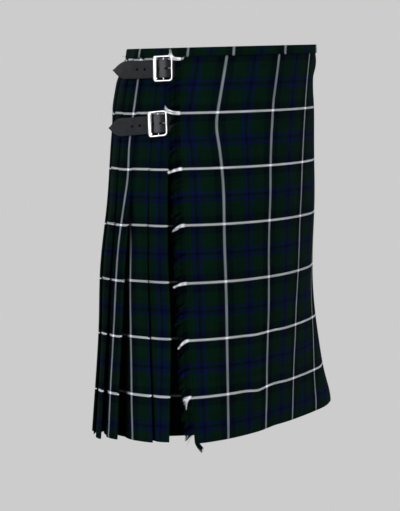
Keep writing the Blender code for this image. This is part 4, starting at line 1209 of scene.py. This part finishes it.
def buildProng(which):  # hooked round the centre bar, through the slot and over the buckle's bar
    origin, alongIt, up, out = strapBasis(which)
    loop = buckleSize["centreBar"] + cloth["pieceGap"] + buckleSize["prong"]
    angle = np.radians(np.arange(*prongForm["hook"]))
    hook = np.stack((loop * np.cos(angle), buckleSize["centreLift"] + loop * np.sin(angle)), axis=1)
    rest = buckleSize["lift"] + buckleSize["bar"] + cloth["pieceGap"] + buckleSize["prong"]
    front = buckleSize["length"] / 2
    past, down = prongForm["tip"]
    flat = catmullRom(np.vstack((hook, prongForm["arm"], (-front, rest), (-front - past, rest - down))), 6)
    path = origin + flat[:, :1] * alongIt + flat[:, 1:] * out
    size = np.full(len(path), buckleSize["prong"])
    size[-8:] *= np.linspace(1, 0.5, 8)
    mesh = meshFromArrays("prong", *tubes(path[None], size[None], size[None], 12, up))
    name = "prong" + which.capitalize()
    return finishPiece(name, mesh, materials["nickel"], "buckle_metal", "prong_" + which)


for which in strapPlaces:
    buildStrap(which)
    buildBuckle(which)
    buildProng(which)
    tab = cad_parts["buckle_tab_" + which]
    tab.data.materials.clear()
    tab.data.materials.append(materials["tab"])
print("stage 4: straps and buckles made")

fringe = {
    "yarns": 1800,
    "points": 10,           # along each yarn
    "radius": 0.00029,
    "top": 0.0155,
    "whiteHalf": 0.0026,    # half the height of a white row
    "lock": 0.0052,
    # a middle, how much it changes from lock to lock, and from yarn to yarn
    "length": (0.0195, 0.92, 0.10, 0.05),       # the first is what the three shares are of
    "down": (0.0085, 0.0022, 0.0008),
    "lift": (0.0004, 0.0012, 0.0004),
    "underWhite": (0.35, 0.002, 0.012),         # share of the way down just below a white row
    # the bottom lock: a middle, its change with the root, and from yarn to yarn
    "hemDown": (0.0185, 0.25, 0.0008),
    "hemLength": (0.0040, 0.0008),
    "room": 0.0030,         # kept to the buckles and to the first fold
    "over": (0.0032, 0.17, 0.20),               # the yarns go over the straps, down to these drops
    "wave": 0.00035,
    "thick": (1.2, 1.5),    # white yarns, and those of the bottom lock
}

# White yarns hang together as a tuft at each white row: how far the tuft's tip lies from its
# root along the body and down, in metres, and how far its yarns spread.
whiteTufts = {
    # reach, down, spread and lift
    "rows": [
        (0.0180, -0.0080, 0.0050, 0.0085),
        (0.0230, -0.0075, 0.0030, 0.0090),
        (0.0225, 0.0055, 0.0008, 0.0015),
        (0.0200, 0.0095, 0.0006, 0.0012),
        (0.0210, 0.0060, 0.0010, 0.0012),
        (0.0190, 0.0120, 0.0006, 0.0012),
        (0.0150, 0.0110, 0.0058, 0.0012),
    ],
}


def strapLimit(drops):  # longest yarn that stays short of the buckles on the right hip
    limit, half = np.full(np.shape(drops), 1.0), buckleSize["height"] / 2
    for place in (strapPlaces["upper"], strapPlaces["lower"]):
        room = float(edgeAt("apronRight", place["drop"])) - place["arc"]
        room = room - buckleSize["length"] / 2 - fringe["room"]
        limit = np.minimum(limit, room + smoothStep(half, half + 0.005, np.abs(drops - place["drop"])))
    return limit


# Each yarn runs out from its root on the edge: arc = start - length t, drop = root + down t^1.7 + wave
# t, and lift = edge + over + lift sin(2.6 t) + wave, where t goes from 0 to 1
def buildFringe():
    chance, count = np.random.default_rng(7), fringe["yarns"]

    def each(size):
        return chance.normal(0, size, count)

    bottom = cloth["length"] - 0.0004
    root = np.linspace(fringe["top"], bottom, count) + each(0.0002)
    rowPlace = weftPlace(root - weftStray(root, edgeAt("apronRight", root)))
    row = np.round(rowPlace)
    fromWhite = (rowPlace - row) * sett["repeat"]
    white = np.abs(fromWhite) < fringe["whiteHalf"]
    lock = np.floor(root / fringe["lock"] + 0.4 * np.sin(root * 90))
    lockChance = np.random.default_rng(11).normal(0, 1, (200, 4))[lock.astype(int) % 200]
    whole, middle, byLock, byYarn = fringe["length"]
    length = whole * (middle + byLock * lockChance[:, 0] + each(byYarn))
    middle, byLock, byYarn = fringe["down"]
    down = middle + byLock * lockChance[:, 1] + each(byYarn)
    middle, byLock, byYarn = fringe["lift"]
    lift = middle + byLock * np.abs(lockChance[:, 2]) + np.abs(each(byYarn))
    tufts = np.array(whiteTufts["rows"])[np.clip(row.astype(int), 0, 6)]
    least, near, far = fringe["underWhite"]
    down = down * np.where(fromWhite > 0, least + (1 - least) * smoothStep(near, far, fromWhite), 1.0)
    length = np.where(white, tufts[:, 0] * (1 + each(0.04)), length)
    strand = np.round(each(1) * 1.3) / 1.3   # white yarns cling together in a few strands
    down = np.where(white, tufts[:, 1] - fromWhite * 0.7 + strand * tufts[:, 2], down)
    lift = np.where(white, tufts[:, 3], lift)
    locked = smoothStep(bottom - 0.013, bottom - 0.004, root) * ~white > 0.3
    middle, byRoot, byYarn = fringe["hemDown"]
    down = np.where(locked, middle + byRoot * (bottom - root) + each(byYarn), down)
    middle, byYarn = fringe["hemLength"]
    length = np.where(locked, middle + each(byYarn), length)
    length = np.where(white, length, np.minimum(length, strapLimit(root + 0.6 * down)))
    start = edgeAt("apronRight", root) - 0.0001
    limit = start - edgeAt("firstFold", root) - fringe["room"]
    length = np.where(root > 0.2, np.minimum(length, np.maximum(limit, 0.010)), length)
    size, *ends = fringe["over"]
    over = size * (1 - smoothStep(*ends, root))
    t = np.linspace(0, 1, fringe["points"])[None, :]
    wave = chance.normal(0, fringe["wave"], (count, 1)) * np.sin(t * 5 + chance.uniform(0, 6, (count, 1)))
    drops = root[:, None] + down[:, None] * t**1.7 + wave * t
    inward = np.abs(down)[:, None] * np.where(locked, 0.75, 0.18)[:, None] * t**2.2
    arcs = start[:, None] - length[:, None] * t + inward
    edgeLift = edgeAt("edgeLift", drops)
    lifts = edgeLift + over[:, None] * smoothStep(0, 0.5, t) + lift[:, None] * np.sin(t * 2.6) + wave
    paths = wrapPoints(np.maximum(drops, 0.0005), arcs, np.maximum(lifts, edgeLift - 0.0002))
    paths[..., 2] = -drops
    thick = fringe["radius"] * (1 + 0.15 * each(1))[:, None] * (1 - 0.45 * t**6)
    whiteThick, lockedThick = fringe["thick"]
    thick = thick * np.where(white, whiteThick, np.where(locked, lockedThick, 1.0))[:, None]
    outward = wrapPoints(root, start, 0.01) - wrapPoints(root, start, 0.0)
    mesh = meshFromArrays("fringe", *tubes(paths, thick, thick, 4, outward[:, None]), 80)
    place = weftPlace(root - weftStray(root, start))
    place = np.where(white, np.round(place), place)
    uv = np.stack(np.broadcast_arrays(length[:, None] * t, place[:, None]), axis=-1)
    putUv(mesh, "cloth", uv[:, :, None].repeat(4, axis=2).reshape(-1, 2))
    return finishPiece("fringeYarns", mesh, materials["yarn"], "fringe_yarn", "fringe")


fringeYarns = buildFringe()
print("stage 5: fringe made")


stitches = {
    "points": 260,          # along a seam
    # length, gap and radius
    "fringeThread": (0.0030, 0.0016, 0.00022),
    "bandThread": (0.0022, 0.0026, 0.00018),
    "fringeDrop": (0.030, 0.575),       # where the seam starts, and how long it is
    "fringeIn": 0.0035,     # from the over apron's edge
    "bandUp": 0.0022,       # from the band's lower edge
    "bandIn": 0.002,
    "backArc": (-0.245, 0.48),
}


# Short stitches along a line: each rises off the cloth by 3.6 radius (1/4 - t^2) and thins by
# 0.35 (2 t)^3, where t goes from -1/2 to 1/2
def stitchRow(name, drops, arcs, lifts, length, gap, radius):
    line = wrapPoints(drops, arcs, lifts)
    out = wrapPoints(drops, arcs, lifts + 0.001) - line
    distance = np.concatenate(([0], np.cumsum(np.linalg.norm(np.diff(line, axis=0), axis=1))))
    t = np.linspace(-0.5, 0.5, 6)
    at = np.arange(gap, distance[-1] - gap, length + gap)[:, None] + t * length
    paths, outs = (np.stack([np.interp(at, distance, v[:, k]) for k in range(3)], axis=-1) for v in (line, out))
    outs = unit(outs)
    paths = paths + outs * ((0.25 - t**2) * 4 * radius * 0.9)[None, :, None]
    size = np.broadcast_to(radius * (1 - 0.35 * (2 * np.abs(t)) ** 3), at.shape)
    mesh = meshFromArrays(name, *tubes(paths, size, size, 6, outs), 80)
    return finishPiece(name, mesh, materials["thread"], "tartan_band")


# Seams at even steps: beside the fringe, and along the lower edge of both bands
def buildStitches():
    steps = np.linspace(0, 1, stitches["points"])
    start, seam = stitches["fringeDrop"]
    at = start + steps * seam
    arcs = edgeAt("apronRight", at) + stitches["fringeIn"]
    stitchRow("fringeStitches", at, arcs, apronLift(at, arcs) + cloth["wall"] / 2, *stitches["fringeThread"])
    low = np.full(len(steps), cloth["bandDepth"] - stitches["bandUp"])
    right, left = float(edgeAt("apronRight", low[0])), float(edgeAt("apronLeft", low[0]))
    arcs = right + stitches["bandIn"] + steps * (left - right - 2 * stitches["bandIn"])
    reach = cloth["wall"] / 2 + cloth["pieceGap"] + waistband["wall"]
    stitchRow("bandStitchesOver", low, arcs, apronLift(low, arcs) + reach, *stitches["bandThread"])
    start, seam = stitches["backArc"]
    arcs = start - steps * seam
    lifts = np.interp(arcs, waistband["backKnots"], waistband["backOuter"]) + waistband["wall"] / 2
    stitchRow("bandStitchesBack", low, arcs, lifts, *stitches["bandThread"])


buildStitches()
print("stage 6: stitching made")

# The studio: a pale floor that curves up all round, soft lamps, and the photo's viewpoint
studio = {
    "floorDrop": -1.02,
    "radius": 6.0,
    "sides": 48,
    # the paper's line from the middle of the floor up and over: distance and height
    "profile": [
        (0.0, 0.0), (2.0, 0.0), (3.6, 0.0), (4.6, 0.12), (5.4, 0.6), (5.9, 1.5),
        (6.0, 3.0), (5.9, 4.6), (4.6, 5.8), (2.4, 6.2), (0.05, 6.2),
    ],
    "color": (0.604, 0.604, 0.604, 1.0),
    "worldColor": (0.95, 0.97, 1.0, 1.0),
    "worldStrength": 0.35,
}
lamps = {
    # name: place, size, power, colour
    "key": ((-1.7, -2.3, 1.8), 1.9, 66.0, (1.0, 0.98, 0.96)),
    "fill": ((2.8, -2.6, 0.8), 2.6, 45.0, (0.95, 0.97, 1.0)),
    "side": ((-3.4, 1.4, 0.6), 2.2, 60.0, (0.97, 0.98, 1.0)),
    "back": ((1.2, 3.4, 1.8), 2.6, 60.0, (1.0, 1.0, 1.0)),
}
camera = {
    "distance": 3.2367,
    "azimuth": 60.067,
    "height": -0.0060,
    "pitch": 5.961,
    "roll": -1.433,
    "sideways": 0.0335,
    "focalPixels": 1958.0,
    "picture": (400, 511),
}


def buildStudio():  # the profile turned round the middle, closed by a disc, then the world and the lamps
    steps = studio["sides"]
    profile = catmullRom(np.array(studio["profile"]), 6)
    profile[:, 0] = np.clip(profile[:, 0], 0.0, studio["radius"])
    around = np.linspace(0, 2 * math.pi, steps, endpoint=False)
    r, z = profile[1:, :1], profile[1:, 1:] + studio["floorDrop"]
    points = np.stack((r * np.cos(around), r * np.sin(around), z.repeat(steps, axis=1)), axis=-1).reshape(-1, 3)
    points = np.vstack((points, (0, 0, studio["floorDrop"])))
    index = np.arange(len(r) * steps).reshape(len(r), steps)
    disc = np.stack((index[0], np.roll(index[0], -1), np.full(steps, len(points) - 1)), axis=-1)
    mesh = meshFromArrays("floor", points, [ringQuads(index)[:, ::-1], disc], 80)
    floor = bpy.data.objects.new("studioFloor", mesh)
    bpy.context.scene.collection.objects.link(floor)
    paper = {"Base Color": (0.0, 0.0, 0.0, 1.0), "Emission Color": studio["color"]}
    paper.update({"Emission Strength": 1.0, "Specular IOR Level": 0.0})
    mesh.materials.append(newMaterial("palePaper", paper)[0])
    floor.visible_shadow = floor.visible_glossy = floor.visible_diffuse = False
    world = bpy.data.worlds.new("studioWorld")
    world.use_nodes = True
    background = world.node_tree.nodes["Background"]
    background.inputs["Color"].default_value = studio["worldColor"]
    background.inputs["Strength"].default_value = studio["worldStrength"]
    bpy.context.scene.world = world
    for name, (place, size, power, color) in lamps.items():
        light = bpy.data.lights.new(name, "AREA")
        light.shape, light.size, light.energy, light.color = "SQUARE", size, power, color
        lamp = bpy.data.objects.new(name, light)
        lamp.location = place
        lamp.rotation_euler = (Vector((0, 0, -0.3)) - Vector(place)).to_track_quat("-Z", "Y").to_euler()
        bpy.context.scene.collection.objects.link(lamp)


# Stands back from the middle by its distance at the azimuth, moved aside, then pitched and rolled
def buildCamera():
    azimuth = math.radians(camera["azimuth"])
    back = Vector((-math.sin(azimuth), -math.cos(azimuth), 0))
    aside = Vector((math.cos(azimuth), -math.sin(azimuth), 0))
    data = bpy.data.cameras.new("photoCamera")
    data.sensor_width = 36.0
    data.lens = camera["focalPixels"] / max(camera["picture"]) * data.sensor_width
    eye = bpy.data.objects.new("photoCamera", data)
    eye.location = back * camera["distance"] - aside * camera["sideways"] + Vector((0, 0, camera["height"]))
    look = Euler((math.radians(90 - camera["pitch"]), 0, -azimuth), "XYZ").to_matrix()
    roll = Euler((0, 0, math.radians(camera["roll"])), "XYZ").to_matrix()
    eye.rotation_euler = (look @ roll).to_euler()
    bpy.context.scene.collection.objects.link(eye)
    bpy.context.scene.camera = eye
    bpy.context.scene.view_settings.view_transform = "Standard"


buildStudio()
buildCamera()
print("stage 7: studio and camera ready")
